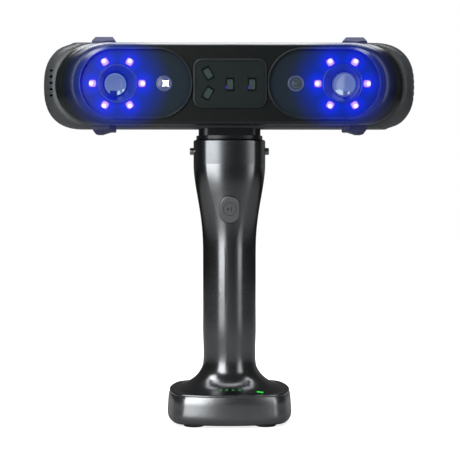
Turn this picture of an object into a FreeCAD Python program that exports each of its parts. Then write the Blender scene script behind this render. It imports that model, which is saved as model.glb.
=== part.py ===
"""Handheld 3D scanner: a wide optical head on an upright battery grip with a flared foot.

Millimetres. +Z is up and the cameras look along -Y. The origin is on the table, under the
middle of the foot. "Left" is the -X side.
"""
import FreeCAD, Part
import math
import os

V = FreeCAD.Vector

# ------------------------------------------------------------------ fits and walls
wall = 2.2                    # moulded shells
slip = 0.1                    # a piece dropped into its pocket
running_fit = 0.05            # a pin or shaft that moves in its hole
board = 1.6                   # circuit boards

# ------------------------------------------------------------------ foot
foot_height = 1.5
foot_radius = 6.1
foot_x = 21.0
foot_y = 22.0
foot_round = 0.5
tray_height = 16.5
tray_rim_x = 35.9             # half sizes of the rim where the tray meets the grip
tray_rim_y = 32.7
tray_rim_corner = 11.0
tray_bow = 3.0                # the tray's sides fall back this far towards its corners
tray_swell = 1.4              # the tray is this much wider at its waist
tray_waist = 12.2             # waist below the rim
tray_bottom_inset = 2.2       # rounding in from the waist to the bottom edge
base_plate_thickness = 2.4
base_screw_x = 27.0
base_screw_y = 9.0
base_screw_radius = 1.5
base_screw_sink = 1.4         # depth of the head's pocket
base_screw_bite = 1.4         # screw reaching up into the grip's posts
boss_radius = 3.4

# ------------------------------------------------------------------ cells, which set the grip's length
cell_radius = 9.25
cell_length = 65.0
cell_count = 2
cell_round = 0.8
contact_thickness = 1.0
contact_radius = 6.0
cradle_wall = 0.85
cradle_plate = 1.65
cradle_mouth = 7.9            # half width of the slot that the cells snap in through
cradle_drop = 0.8             # the cradle's floor below the tray rim
cradle_gap = 0.5              # cradle off the grip's rear wall

# ------------------------------------------------------------------ grip
grip_x = 15.85                # half sizes of the nearly round stretch
grip_y = 16.3
grip_corner = 15.2
grip_bow = 0.05
flare_height = 15.6           # fillet from the grip down to the rim
flare_power = 1.72            # 2 would be a quarter ellipse
rim_edge = 1.0                # upright edge below the fillet
funnel_height = 54.0          # widening stretch under the collar
funnel_lean = 1.3             # how late the widening starts
grip_split = 0.15             # gap between the front and rear halves
grip_screw_x = 14.6
grip_screw_drop = 9.0         # screws below the collar
grip_screw_radius = 1.1
grip_boss_radius = 2.8
grip_screw_reach = 6.0        # tip in front of the split
grip_screw_sink = 6.0         # head's seat behind the collar's outline

# ------------------------------------------------------------------ scan button
button_x = 5.75               # half sizes of the pill
button_z = 7.95
button_gap = 0.3
button_proud = 0.9
button_round = 0.54
button_travel = 0.8
button_drop = 26.85           # centre below the collar's bottom edge
button_flange = 0.9
flange_thickness = 0.8
pocket_wall = 1.8             # wall left in front of the flange
plunger_radius = 1.5
dome_radius = 3.0
dome_height = 1.1
button_mark_radius = 4.1
button_mark_depth = 0.25
button_mark_width = 0.55
button_board_x = 6.0
button_board_z = 11.6
button_post_radius = 1.3
dome_gap = 0.1                # dome below the plunger at rest
plunger_reach = 0.1           # plunger longer than the travel
dome_wall = 0.2

# ------------------------------------------------------------------ collar and neck
collar_x = 21.5
collar_y = 19.5
collar_corner = 9.0
collar_bow = 1.8
collar_height = 14.4
collar_wall = 3.0
collar_floor = 2.5
collar_edge = 1.2             # rounding of the top edge
flange_lift = 0.3             # flange above the collar
neck_flange_height = 2.1
neck_flange_inset = 1.7
neck_height = 3.6
neck_y = 12.5
neck_corner = 6.0
contact_block_x = 12.0
contact_block_y = 9.6
contact_block_thickness = 1.2
contact_tongue_x = 7.0
contact_tongue_y = 3.5
contact_tongue_height = 2.0
contact_pin_count = 6
contact_pin_pitch = 2.0
contact_pin_radius = 0.5
contact_pin_proud = 0.6

# ------------------------------------------------------------------ release pins
pin_radius = 2.1
pin_proud = 2.2
pin_drop = 6.8                # axis below the collar's top edge
pin_shoulder = 0.8            # shoulder wider than the pin
pin_shoulder_length = 1.5
pin_hood = 3.8                # spigot wall outside the shoulder
pin_tip_round = 0.6
spring_length = 5.0
spring_wire = 0.3
spring_turns = 5

# ------------------------------------------------------------------ head shells
head_length = 221.6
head_height = 51.4
seam_y = -14.0
seam_gap = 0.8
seam_inset = 8.6              # seam inside the head's ends
seam_height = 47.4
face_y = -29.0
face_flat_inset = 16.2        # flat stretch of the face ends this far inside the seam
face_edge_inset = 4.6         # edge of the face, where the rim ring starts
face_bend = 15.0              # radius of the face's bend towards its ends
face_fillet = 2.0
ring_depth = 5.0              # rim ring from the face's edge to the upright wall
ring_bulge = 0.7
ring_step = 0.4               # upright wall's draft
shoulder_y = 2.0              # the rear shell is at its full length from here
shoulder_step = 0.45          # the rear shell's edge outside the seam
crest_y = -5.0                # and at its full height here
rear_draft = 0.05             # it falls by this share behind the crest
end_power = 2.5               # fullness of its ends: 2 would be half round
end_reach = 0.95              # length of an end as a share of the half height
rear_y = 20.0
rear_round_x = 12.0
rear_round_z = 10.0
gasket_inset = 0.65
gasket_width = 1.55
vent_count = 5
vent_height = 1.6
vent_pitch = 3.65
vent_length = 15.0
vent_rise = 1.4               # middle vent above the head's centre
intake_start = 1.0            # the left slots begin behind the shoulder
intake_length = 8.0
port_outboard = 2.25          # intake ports in the left shoulder, outside its root
port_width = 2.0
port_height = 1.4
port_depth = 4.6

# ------------------------------------------------------------------ bumpers
bumper_outboard = 8.9         # middle of a bumper from the camera axis
bumper_y = -2.0
bumper_base_x = 14.0
bumper_back_x = 11.2
bumper_base_y = 24.0
bumper_top_x = 10.2
bumper_top_y = 17.0
bumper_height = 2.9
bumper_root = 4.0             # block cut away to seat it on the shell
bumper_prow = 0.9             # front face folds forward to its crease
upper_crease = 0.8            # crease outboard of the middle
lower_crease = 3.3            # crease inboard of the middle
lower_heel = 2.9              # lowest, outer stretch of the lower bumpers
lower_toe = 1.3               # shallow, inner stretch
lower_heel_end = 2.2          # where the heel ends, outboard of the middle
lower_toe_start = 2.5         # where the toe starts, inboard of the middle

# ------------------------------------------------------------------ camera windows
camera_inset = 45.8           # camera axis inside the head's end
window_outboard = 21.1        # window edge from the camera axis
window_panel_gap = 1.1        # window edge from the centre panel
window_half_z = 19.45
bezel_proud = 2.0
bezel_rim = 0.6
bezel_lip_outboard = 4.3
bezel_lip_inboard = 0.9
bezel_lip_z = 1.7
bezel_lip_drop = 0.4          # lip's edge sunk into the shell's face
window_recess = 0.8           # window plate's front behind the bezel's foot
window_plate_thickness = 1.6
led_board_overlap = 1.0

# ------------------------------------------------------------------ cameras
toe_in = 13.0                 # degrees
hood_radius = 11.5
hood_mouth = 10.25
hood_length = 9.0
hood_proud = 0.4
lens_radius = 6.9
lens_depth = 7.6
lens_thickness = 3.0
lens_crown = 1.0
lens_seat = 4.4               # bore for the glass behind its edge
barrel_radius = 9.0
barrel_bore = 5.5
barrel_length = 24.0
sensor_half = 10.0

# ------------------------------------------------------------------ lights beside the cameras
led_count = 6
led_circle = 14.25
led_size = 3.5
led_stand = 0.1               # LEDs proud of the window plate
aux_inset = 15.7              # small disc from the window's inner edge
aux_radius = 4.6
aux_led_size = 4.0
aux_led_proud = 0.2
aux_lens_radius = 3.4
aux_lens_thickness = 1.0
aux_body_length = 10.0
aux_pupil_radius = 1.3

# ------------------------------------------------------------------ centre panel and lasers
panel_x = 21.2
panel_z = 14.1
panel_corner = 5.2
panel_proud = 1.5
panel_edge = 0.5
panel_rim = 1.55
face_plate_thickness = 1.4
face_plate_sink = 0.3
laser_pitch = 12.7
laser_rise = 5.7
laser_lean = 30.0             # degrees
laser_drop = 0.6              # upright windows below the centre
laser_frame_x = 2.4
laser_frame_z = 3.8
laser_glass_x = 1.75
laser_glass_z = 2.85
laser_frame_thickness = 0.9
laser_glass_thickness = 0.7
laser_module_radius = 2.4
bracket_x = 19.5
bracket_z = 11.0
bracket_leg = 3.0
bracket_front_y = -22.0
bracket_plate = 3.0

# ------------------------------------------------------------------ optical frame and electronics
frame_front_y = -16.0
frame_thickness = 4.0
frame_inset = 15.8            # frame inside the head's ends
frame_inset_z = 4.7           # from the seam's outline
frame_post_radius = 2.0
led_post_inboard = 20.0       # posts from the camera axis
led_post_z = 15.0
front_screw_x = 12.0
front_screw_z = 16.0
end_screw_inset = 19.8
front_screw_radius = 1.2
front_boss_radius = 2.8
front_screw_reach = 6.0       # tip in front of the optical frame
rear_boss_inset = 26.8
rear_boss_z = 13.0
rear_screw_radius = 1.5
rear_screw_reach = 3.0        # tip inside the optical frame
screw_head_radius = 2.6
screw_head_height = 1.8
main_board_inboard = 13.0     # main board's end from the camera axis
main_board_z = 16.0
main_board_gap = 10.0         # behind the optical frame
standoff_inset = 6.0          # standoffs from the main board's ends
standoff_z = 12.0
standoff_radius = 2.5
chip_size = 20.0
chip_height = 2.4
sink_left = -35.0
sink_right = 25.0
sink_half_z = 14.0
sink_base = 3.0
sink_height = 12.0
fin_count = 8
fin_thickness = 1.2
foot_plate_x = 16.0
foot_plate_thickness = 3.0
ribbon_width = 8.0
ribbon_thickness = 0.5

# ------------------------------------------------------------------ power button on the back
power_inset = 8.0             # from the main board's end
power_radius = 4.4
power_gap = 0.12
power_proud = 0.6
power_travel = 0.5
power_flange = 1.0
power_stem_radius = 1.5
switch_size = 6.0
switch_height = 3.0

# ------------------------------------------------------------------ fan behind the right vents
fan_inset = 21.3              # fan's inner face from the head's end
fan_size = 25.0
fan_depth = 7.0
fan_bore = 11.6
fan_tip_gap = 0.6
fan_hub_radius = 5.4
fan_plate = 1.2
fan_shaft_radius = 1.0
fan_blades = 7
blade_pitch_angle = 35.0
blade_thickness = 0.8
blade_width = 5.2
fan_back_gap = 2.0            # fan from the rear wall
fan_rail = 1.6                # thickness of the rails behind the fan
fan_rail_inset = 1.0

# ------------------------------------------------------------------ base electronics and handle cable
base_board_lift = 4.0
base_board_x = 22.0
base_post_radius = 2.5
base_post_x = 18.0
base_post_y = 12.0
usb_x = 4.47
usb_height = 3.2
usb_length = 7.4
usb_shell = 0.35
usb_back = 0.4                # socket mouth inside the tray wall
usb_tongue_x = 3.2
usb_tongue_back = 0.8         # tongue's tip behind the mouth
cable_radius = 1.0
cable_x = 9.5
cable_y = -7.5
dot_pitch = 3.75
dot_radius = 0.8
dot_count = 4
light_y = -25.2
dash_x = 17.6
dash_half_x = 1.9
dash_half_y = 0.45

# ------------------------------------------------------------------ heights that follow
rim_z = foot_height + tray_height
flare_top_z = rim_z + rim_edge + flare_height
cradle_z = rim_z - cradle_drop
cell_stack = cell_count * cell_length + (cell_count + 1) * contact_thickness
cradle_height = 2 * cradle_plate + cell_stack
collar_z = cradle_z + cradle_height + slip
collar_top_z = collar_z + collar_height
funnel_z = collar_z - funnel_height
neck_flange_z = collar_top_z + flange_lift
neck_z = neck_flange_z + neck_flange_height
head_bottom_z = neck_z + neck_height
head_z = head_bottom_z + head_height / 2
neck_top_z = head_z - seam_height / 2 + wall + slip    # level with the inside of the seam
pin_z = collar_top_z - pin_drop
button_centre_z = collar_z - button_drop
base_board_z = foot_height + base_plate_thickness + base_board_lift
base_board_top = base_board_z + board
grip_screw_z = collar_z - grip_screw_drop
contact_block_top = collar_z + collar_floor + contact_block_thickness
spigot_z = contact_block_top + slip

# ------------------------------------------------------------------ depths that follow
front_root_y = seam_y - seam_gap / 2
rear_root_y = seam_y + seam_gap / 2
inner_face_y = face_y + wall
inner_rear_y = rear_y - wall
window_y = face_y + window_recess
led_board_y = window_y + window_plate_thickness
frame_back_y = frame_front_y + frame_thickness
main_board_y = frame_back_y + main_board_gap
main_board_back = main_board_y + board
cradle_radius = cell_radius + slip + cradle_wall
cell_y = grip_y - wall - cradle_radius - cradle_gap
base_board_back = tray_rim_y - usb_length * 3 / 4
fan_centre_y = inner_rear_y - fan_back_gap - fan_size / 2
grip_screw_head_y = collar_y - grip_screw_sink

# ------------------------------------------------------------------ widths that follow
seam_length = head_length - 2 * seam_inset
face_length = seam_length - 2 * face_flat_inset
face_edge_length = seam_length - 2 * face_edge_inset
camera_x = head_length / 2 - camera_inset
window_inboard = camera_x - panel_x - window_panel_gap
window_shift = (window_inboard - window_outboard) / 2
window_half_x = (window_inboard + window_outboard) / 2
aux_offset = window_inboard - aux_inset
bumper_x = camera_x + bumper_outboard
frame_x = head_length / 2 - frame_inset
led_post_x = camera_x - led_post_inboard
end_screw_x = head_length / 2 - end_screw_inset
rear_boss_x = head_length / 2 - rear_boss_inset
main_board_x = camera_x - main_board_inboard
standoff_x = main_board_x - standoff_inset
power_x = main_board_x - power_inset
fan_x = head_length / 2 - fan_inset
spigot_x = collar_x - collar_wall - slip
spigot_y = collar_y - collar_wall - slip
spigot_corner = collar_corner - collar_wall
shoulder_out_x = spigot_x - pin_hood
spring_x = shoulder_out_x - pin_shoulder_length - spring_length
sink_centre = (sink_left + sink_right) / 2
grip_head_radius = grip_screw_radius * screw_head_radius / rear_screw_radius


# ------------------------------------------------------------------ shape helpers
def block(x0, x1, y0, y1, z0, z1):
    return Part.makeBox(x1 - x0, y1 - y0, z1 - z0, V(x0, y0, z0))


def rod_x(radius, x0, x1, y, z):
    return Part.makeCylinder(radius, x1 - x0, V(x0, y, z), V(1, 0, 0))


def rod_y(radius, y0, y1, x, z):
    return Part.makeCylinder(radius, y1 - y0, V(x, y0, z), V(0, 1, 0))


def rod_z(radius, z0, z1, x, y):
    return Part.makeCylinder(radius, z1 - z0, V(x, y, z0), V(0, 0, 1))


def fuse(shapes):
    whole = shapes[0]
    for shape in shapes[1:]:
        whole = whole.fuse(shape)
    return whole.removeSplitter()


def cut(shape, tools):
    for tool in tools:
        shape = shape.cut(tool)
    return shape


def group(shapes):
    return Part.makeCompound(shapes)


def bowed_corner(half_x, half_y, corner, bow):
    """Centre of the corner arc in the first quarter, and the angles where it meets the sides."""
    centre_x = half_x - corner - bow
    centre_y = half_y - corner - bow
    side_radius = (centre_y ** 2 + bow * (bow + 2 * corner)) / (2 * bow)
    front_radius = (centre_x ** 2 + bow * (bow + 2 * corner)) / (2 * bow)
    start = math.atan2(centre_y, centre_x - (half_x - side_radius))
    end = math.atan2(centre_y - (half_y - front_radius), centre_x)
    return centre_x, centre_y, start, end


def bowed_wire(half_x, half_y, corner, bow, z):
    """Rounded rectangle whose sides are shallow arcs: they fall back by the bow at its corners."""
    centre_x, centre_y, start, end = bowed_corner(half_x, half_y, corner, bow)
    arcs = []
    for quarter in range(4):
        sign_x = (1, -1, -1, 1)[quarter]
        sign_y = (1, 1, -1, -1)[quarter]
        angles = [start, (start + end) / 2, end]
        if sign_x * sign_y < 0:
            angles.reverse()
        arcs.append([V(sign_x * (centre_x + corner * math.cos(angle)),
                       sign_y * (centre_y + corner * math.sin(angle)), z) for angle in angles])
    edges = []
    for quarter in range(4):
        middle = (V(0, half_y, z), V(-half_x, 0, z), V(0, -half_y, z), V(half_x, 0, z))[quarter]
        edges.append(Part.Arc(*arcs[quarter]).toShape())
        edges.append(Part.Arc(arcs[quarter][2], middle, arcs[(quarter + 1) % 4][0]).toShape())
    return Part.Wire(edges)


def bowed_slab(half_x, half_y, corner, bow, z0, z1):
    face = Part.Face(bowed_wire(half_x, half_y, corner, bow, z0))
    return face.extrude(V(0, 0, z1 - z0))


def rounded_wire(half_x, half_y, corner, place):
    """Rounded rectangle about the origin of the XY plane, moved by place(x, y) -> point."""
    flat_x = half_x - corner
    flat_y = half_y - corner
    edges = []
    for quarter in range(4):
        sign_x = (1, -1, -1, 1)[quarter]
        sign_y = (1, 1, -1, -1)[quarter]
        centre_x = sign_x * flat_x
        centre_y = sign_y * flat_y
        start = math.radians(90 * quarter)
        points = []
        for step in range(3):
            angle = start + step * math.pi / 4
            x = centre_x + corner * math.cos(angle)
            y = centre_y + corner * math.sin(angle)
            points.append(place(x, y))
        edges.append(Part.Arc(*points).toShape())
        next_x = (-1, -1, 1, 1)[quarter] * flat_x
        next_y = (1, -1, -1, 1)[quarter] * flat_y
        turned = start + math.pi / 2
        end = place(next_x + corner * math.cos(turned), next_y + corner * math.sin(turned))
        edges.append(Part.LineSegment(points[-1], end).toShape())
    return Part.Wire(edges)


def wire_z(half_x, half_y, corner, z, x=0.0, y=0.0):
    """Rounded rectangle lying flat at height z."""
    return rounded_wire(half_x, half_y, corner, lambda u, v: V(x + u, y + v, z))


def slab_z(half_x, half_y, corner, z0, z1, x=0.0, y=0.0):
    face = Part.Face(wire_z(half_x, half_y, corner, z0, x, y))
    return face.extrude(V(0, 0, z1 - z0))


def wire_y(half_x, half_z, corner, y, x=0.0, z=0.0):
    """Rounded rectangle standing upright at depth y."""
    return rounded_wire(half_x, half_z, corner, lambda u, v: V(x + u, y, z + v))


def slab_y(half_x, half_z, corner, y0, y1, x=0.0, z=0.0):
    face = Part.Face(wire_y(half_x, half_z, corner, y0, x, z))
    return face.extrude(V(0, y1 - y0, 0))


def stadium(half_x, half_z, y, x=0.0, z=None):
    """Upright outline with half-round ends, at depth y."""
    z = head_z if z is None else z
    flat = half_x - half_z
    top = Part.LineSegment(V(x + flat, y, z + half_z), V(x - flat, y, z + half_z)).toShape()
    left = Part.Arc(V(x - flat, y, z + half_z), V(x - half_x, y, z), V(x - flat, y, z - half_z)).toShape()
    bottom = Part.LineSegment(V(x - flat, y, z - half_z), V(x + flat, y, z - half_z)).toShape()
    right = Part.Arc(V(x + flat, y, z - half_z), V(x + half_x, y, z), V(x + flat, y, z + half_z)).toShape()
    return Part.Wire([top, left, bottom, right])


def stadium_slab(half_x, half_z, y0, y1, x=0.0):
    return Part.Face(stadium(half_x, half_z, y0, x)).extrude(V(0, y1 - y0, 0))


def loft(wires, ruled=False):
    return Part.makeLoft(wires, True, ruled)


def corners(half_x, half_y):
    return [(sx * half_x, sy * half_y) for sx in (-1, 1) for sy in (-1, 1)]


# ------------------------------------------------------------------ head shells
def face_profile():
    """Half length and depth of the front shell's end, in three runs: face, rim ring, upright wall."""
    flat_x = face_length / 2
    edge_x = face_edge_length / 2
    steps = 5
    face = []
    for step in range(steps + 1):
        half_x = flat_x + (edge_x - flat_x) * step / steps
        face.append((half_x, face_y + (half_x - flat_x) ** 2 / (2 * face_bend)))
    edge_y = face[-1][1]
    wall_x = seam_length / 2 - ring_step
    wall_y = edge_y + ring_depth
    ring = [face[-1], ((edge_x + wall_x) / 2 + ring_bulge, (edge_y + wall_y) / 2 - ring_bulge),
            (wall_x, wall_y)]
    return face, ring, [ring[-1], (seam_length / 2, front_root_y)]


def front_half_z(y):
    """Half height of the front shell at depth y, with the rounded edge of the face."""
    sunk = max(face_fillet - (y - face_y), 0)
    return seam_height / 2 - face_fillet + math.sqrt(face_fillet ** 2 - sunk ** 2)


def front_outer():
    runs = []
    for run in face_profile():
        runs.append(loft([stadium(half_x, front_half_z(y), y) for half_x, y in run]))
    return fuse(runs)


def front_hollow():
    """The same form moved in by the wall, measured square to the surface."""
    face, ring, upright = face_profile()
    points = face + ring[1:] + upright[1:]
    half_z = seam_height / 2 - wall
    wires = [stadium(points[0][0] - wall / 2, half_z, face_y + wall)]
    for index in range(1, len(points) - 1):
        run = points[index + 1][0] - points[index - 1][0]
        rise = points[index + 1][1] - points[index - 1][1]
        length = math.hypot(run, rise)
        half_x = points[index][0] - wall * rise / length
        wires.append(stadium(half_x, half_z, points[index][1] + wall * run / length))
    wires.append(stadium(points[-1][0] - wall, half_z, front_root_y))
    wires.append(stadium(points[-1][0] - wall, half_z, front_root_y + slip))
    return loft(wires)


def rear_rise(y):
    """0 at the seam, 1 from the crest back."""
    return math.sqrt(1 - (max(crest_y - y, 0) / (crest_y - rear_root_y)) ** 2)


def rear_half_z(y, inset):
    """Half height of the rear shell at depth y."""
    full = head_height / 2 - rear_draft * max(y - crest_y, 0)
    root = seam_height / 2 + shoulder_step
    round_start = rear_y - rear_round_z
    if y <= round_start:
        return root + (full - root) * rear_rise(y) - inset
    radius = rear_round_z - inset
    return full - rear_round_z + math.sqrt(max(radius ** 2 - (y - round_start) ** 2, 0))


def full_end(half_x, half_z, y, side):
    """End of the rear shell's outline, from its upper corner to its lower one or back."""
    rise = rear_rise(y)
    power = 2 / (2 + (end_power - 2) * rise)
    reach = half_z * (1 - (1 - end_reach) * rise)
    points = []
    steps = 12
    for step in range(steps + 1):
        angle = math.radians(90 - 180 * step / steps)
        along = max(math.cos(angle), 0.0) ** power
        up = math.copysign(abs(math.sin(angle)) ** power, angle)
        points.append(V(side * (half_x - reach + reach * along), y, head_z + side * half_z * up))
    curve = Part.BSplineCurve()
    curve.interpolate(Points=points, InitialTangent=V(1, 0, 0) * side, FinalTangent=V(-1, 0, 0) * side)
    return curve.toShape(), points


def rear_outline(half_x, half_z, y):
    right, right_points = full_end(half_x, half_z, y, 1)
    left, left_points = full_end(half_x, half_z, y, -1)
    bottom = Part.LineSegment(right_points[-1], left_points[0]).toShape()
    top = Part.LineSegment(left_points[-1], right_points[0]).toShape()
    return Part.Wire([right, bottom, left, top])


def rear_volume(inset):
    """Outer form of the rear shell, or its hollow when inset is the wall."""
    root_x = seam_length / 2 + shoulder_step
    full_x = head_length / 2
    shoulder_depth = shoulder_y - rear_root_y - inset
    round_start = rear_y - rear_round_x
    wires = []
    steps = 6
    for step in range(steps + 1):
        angle = math.radians(90 * step / steps)
        y = shoulder_y - shoulder_depth * math.cos(angle)
        half_x = root_x + (full_x - inset - root_x) * math.sin(angle)
        wires.append(rear_outline(half_x, rear_half_z(y, inset), y))
    middle = (shoulder_y + round_start) / 2
    wires.append(rear_outline(full_x - inset, rear_half_z(middle, inset), middle))
    for step in range(steps + 1):
        angle = math.radians(90 * step / steps)
        y = round_start + (rear_round_x - inset) * math.sin(angle)
        half_x = full_x - rear_round_x + (rear_round_x - inset) * math.cos(angle)
        wires.append(rear_outline(half_x, rear_half_z(y, inset), y))
    return loft(wires)


def window_hole(side, grow=0.0, y0=None, y1=None):
    """Oblong column on one camera's window."""
    x = side * (camera_x - window_shift)
    y0 = face_y - bezel_proud - 1 if y0 is None else y0
    y1 = inner_face_y + 1 if y1 is None else y1
    return stadium_slab(window_half_x + grow, window_half_z + grow, y0, y1, x)


def bezel_volume(side):
    """Outer form of a bezel: a drafted rim that runs out wide on the outer side."""
    x = side * (camera_x - window_shift)
    foot_grow = (bezel_lip_outboard + bezel_lip_inboard) / 2
    foot_x = x + side * (bezel_lip_outboard - bezel_lip_inboard) / 2
    lip_y = face_y + bezel_lip_drop
    top = stadium(window_half_x + bezel_rim, window_half_z + bezel_rim, face_y - bezel_proud, x)
    foot = stadium(window_half_x + foot_grow, window_half_z + bezel_lip_z, lip_y, foot_x)
    collar = Part.Face(foot).extrude(V(0, led_board_y - lip_y, 0))
    return loft([top, foot], True).fuse(collar)


def bezel(side):
    return bezel_volume(side).cut(window_hole(side))


def panel_volume():
    raised = slab_y(panel_x, panel_z, panel_corner, face_y - panel_proud, inner_face_y, 0, head_z)
    front = [e for e in raised.Edges if abs(e.BoundBox.YMax - (face_y - panel_proud)) < slip]
    return raised.makeFillet(panel_edge, front)


def front_boss_places():
    places = [(x, head_z + z) for x, z in corners(front_screw_x, front_screw_z)]
    return places + [(-end_screw_x, head_z), (end_screw_x, head_z)]


def front_shell():
    shell = cut(front_outer(), [front_hollow(), bezel_volume(-1), bezel_volume(1), panel_volume()])
    bosses = []
    for x, z in front_boss_places():
        end = inner_face_y if abs(x) < end_screw_x else inner_face_y + wall / 2
        boss = rod_y(front_boss_radius, end, frame_front_y, x, z)
        hole = rod_y(front_screw_radius, frame_front_y - front_screw_reach, frame_front_y, x, z)
        bosses.append(boss.cut(hole))
    return fuse([shell] + bosses)


def rear_bosses():
    bosses = []
    for x, z in corners(rear_boss_x, rear_boss_z):
        bosses.append(rod_y(boss_radius, frame_back_y, inner_rear_y + wall / 2, x, head_z + z))
    return bosses


def rear_screw_tools():
    """Stepped holes for the rear screws and their heads."""
    tools = []
    for x, z in corners(rear_boss_x, rear_boss_z):
        shaft = rod_y(rear_screw_radius, frame_back_y - 1, rear_y + 1, x, head_z + z)
        head = rod_y(screw_head_radius + slip, rear_y - screw_head_height, rear_y + 1, x, head_z + z)
        tools.append(shaft.fuse(head))
    return tools


def vent_tools():
    tools = []
    middle = head_z + vent_rise
    end_x = head_length / 2
    for index in range(vent_count):
        z = middle + (index - (vent_count - 1) / 2) * vent_pitch
        low, high = z - vent_height / 2, z + vent_height / 2
        y0 = shoulder_y - vent_length / 2
        tools.append(block(end_x - rear_round_x, end_x + 1, y0, y0 + vent_length, low, high))
        y0 = shoulder_y + intake_start
        tools.append(block(-end_x - 1, rear_round_x - end_x, y0, y0 + intake_length, low, high))
        port_x = -seam_length / 2 - shoulder_step - port_outboard
        tools.append(slab_y(port_width / 2, port_height / 2, port_height / 2 - slip, rear_root_y - 1,
                            rear_root_y + port_depth, port_x, z))
    return tools


def neck_column(grow, z0, z1):
    return slab_z(spigot_x + grow, neck_y + grow, neck_corner + grow, z0, z1)


def rear_shell():
    hollow = rear_volume(wall)
    mouth = stadium_slab(seam_length / 2 - wall, seam_height / 2 - wall, rear_root_y - 1,
                         rear_root_y + wall + 1)
    shell = cut(rear_volume(0), [hollow, mouth])
    rails = []
    for x in (fan_x + fan_rail_inset, fan_x + fan_depth - fan_rail_inset):
        rails.append(block(x - fan_rail / 2, x + fan_rail / 2, fan_centre_y + fan_size / 2,
                           inner_rear_y + wall / 2, head_z - fan_size / 3, head_z + fan_size / 3))
    shell = fuse([shell] + rear_bosses() + rails)
    shell = cut(shell, rear_screw_tools() + vent_tools())
    power_hole = rod_y(power_radius + power_gap, inner_rear_y - 1, rear_y + 1, power_x, head_z)
    return cut(shell, [neck_column(slip, head_bottom_z - 1, head_bottom_z + wall + 2), power_hole])


def shell_gasket():
    outer = stadium_slab(seam_length / 2 - gasket_inset, seam_height / 2 - gasket_inset,
                         front_root_y, rear_root_y)
    inset = gasket_inset + gasket_width
    inner = stadium_slab(seam_length / 2 - inset, seam_height / 2 - inset, front_root_y, rear_root_y)
    return outer.cut(inner)


def bumper_front(up):
    """Front view of a bumper as x and height above the shell, from its outer end inwards."""
    base = bumper_base_x / 2
    top = bumper_top_x / 2
    if up > 0:
        return [(base, -bumper_root), (base, 0), (top, bumper_height), (-top, bumper_height),
                (-base, 0), (-base, -bumper_root)]
    return [(base, -bumper_root), (base, 0), (top, lower_heel), (lower_heel_end, lower_heel),
            (-lower_toe_start, lower_toe), (-top, lower_toe), (-base, 0), (-base, -bumper_root)]


def prism(points, reach):
    return Part.Face(Part.makePolygon(points + [points[0]])).extrude(reach)


def bumper(side, up):
    """Faceted block: its front view, its side view and its plan, all three in common."""
    base_z = head_z + up * head_height / 2
    front_y = bumper_y - bumper_base_y / 2
    back_y = bumper_y + bumper_base_y / 2
    lean = (bumper_base_y - bumper_top_y) / 2
    crease = upper_crease if up > 0 else -lower_crease
    outline = [V(side * (bumper_x + x), front_y - bumper_prow, base_z + up * z)
               for x, z in bumper_front(up)]
    front_view = prism(outline, V(0, back_y - front_y + bumper_prow, 0))
    low = base_z - up * bumper_root
    high = base_z + up * lower_heel
    side_view = prism([V(side * bumper_x - bumper_base_x, y, z) for y, z in (
        (front_y - bumper_prow, low), (front_y - bumper_prow, base_z), (front_y + lean, high),
        (back_y - lean, high), (back_y, base_z), (back_y, low))], V(2 * bumper_base_x, 0, 0))
    half = bumper_base_x / 2
    plan = prism([V(side * (bumper_x + x), y, min(low, high)) for x, y in (
        (half, front_y), (crease, front_y - bumper_prow), (-half, front_y),
        (-bumper_back_x / 2, back_y), (bumper_back_x / 2, back_y))], V(0, 0, abs(high - low)))
    return front_view.common(side_view).common(plan)


def bumpers():
    seam = stadium_slab(seam_length / 2, seam_height / 2, face_y + face_fillet, rear_root_y + slip)
    tools = [rear_volume(0), seam]
    return group([cut(bumper(side, up), tools) for side in (-1, 1) for up in (-1, 1)])


# ------------------------------------------------------------------ cameras, lights and windows
def toed(shape, side):
    """Turn a piece built along Y at the origin onto one camera's axis."""
    shape = shape.copy()
    shape.rotate(V(0, 0, 0), V(0, 0, 1), -side * toe_in)
    shape.translate(V(side * camera_x, window_y, head_z))
    return shape


def barrel_body(side, grow=0.0):
    hood = rod_y(hood_radius + grow, window_y - hood_proud, window_y + hood_length,
                 side * camera_x, head_z)
    tube = toed(rod_y(barrel_radius + grow, lens_depth - 1, barrel_length, 0, 0), side)
    return hood.fuse(tube)


def camera_barrel(side):
    mouth_y = window_y - hood_proud
    mouth = Part.Wire(Part.makeCircle(hood_mouth, V(side * camera_x, mouth_y, head_z), V(0, 1, 0)))
    throat = toed(Part.Wire(Part.makeCircle(lens_radius, V(0, lens_depth, 0), V(0, 1, 0))), side)
    cone = loft([mouth, throat], True)
    seat = toed(rod_y(lens_radius, lens_depth, lens_depth + lens_seat, 0, 0), side)
    bore = toed(rod_y(barrel_bore, lens_depth, barrel_length + 1, 0, 0), side)
    return cut(barrel_body(side), [cone, seat, bore])


def camera_glass(side):
    """Plano-convex front lens, crowned towards the scene."""
    radius = lens_radius - running_fit
    sphere = (radius ** 2 + lens_crown ** 2) / (2 * lens_crown)
    ball = Part.makeSphere(sphere, V(0, lens_depth - lens_crown + sphere, 0))
    disc = rod_y(radius, lens_depth - lens_crown - slip, lens_depth + lens_thickness, 0, 0)
    return toed(disc.common(ball), side)


def sensor_board(side):
    plate = block(-sensor_half, sensor_half, barrel_length, barrel_length + board,
                  -sensor_half, sensor_half)
    return toed(plate, side)


def led_box(side, index, half, y0, y1):
    angle = 360.0 * index / led_count
    shape = block(led_circle - half, led_circle + half, y0, y1, -half, half)
    shape.rotate(V(0, 0, 0), V(0, 1, 0), angle)
    shape.translate(V(side * camera_x, 0, head_z))
    return shape


def window_leds(side):
    half = led_size / 2
    return [led_box(side, i, half, window_y - led_stand, led_board_y) for i in range(led_count)]


def aux_x(side):
    return side * (camera_x - aux_offset)


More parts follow.
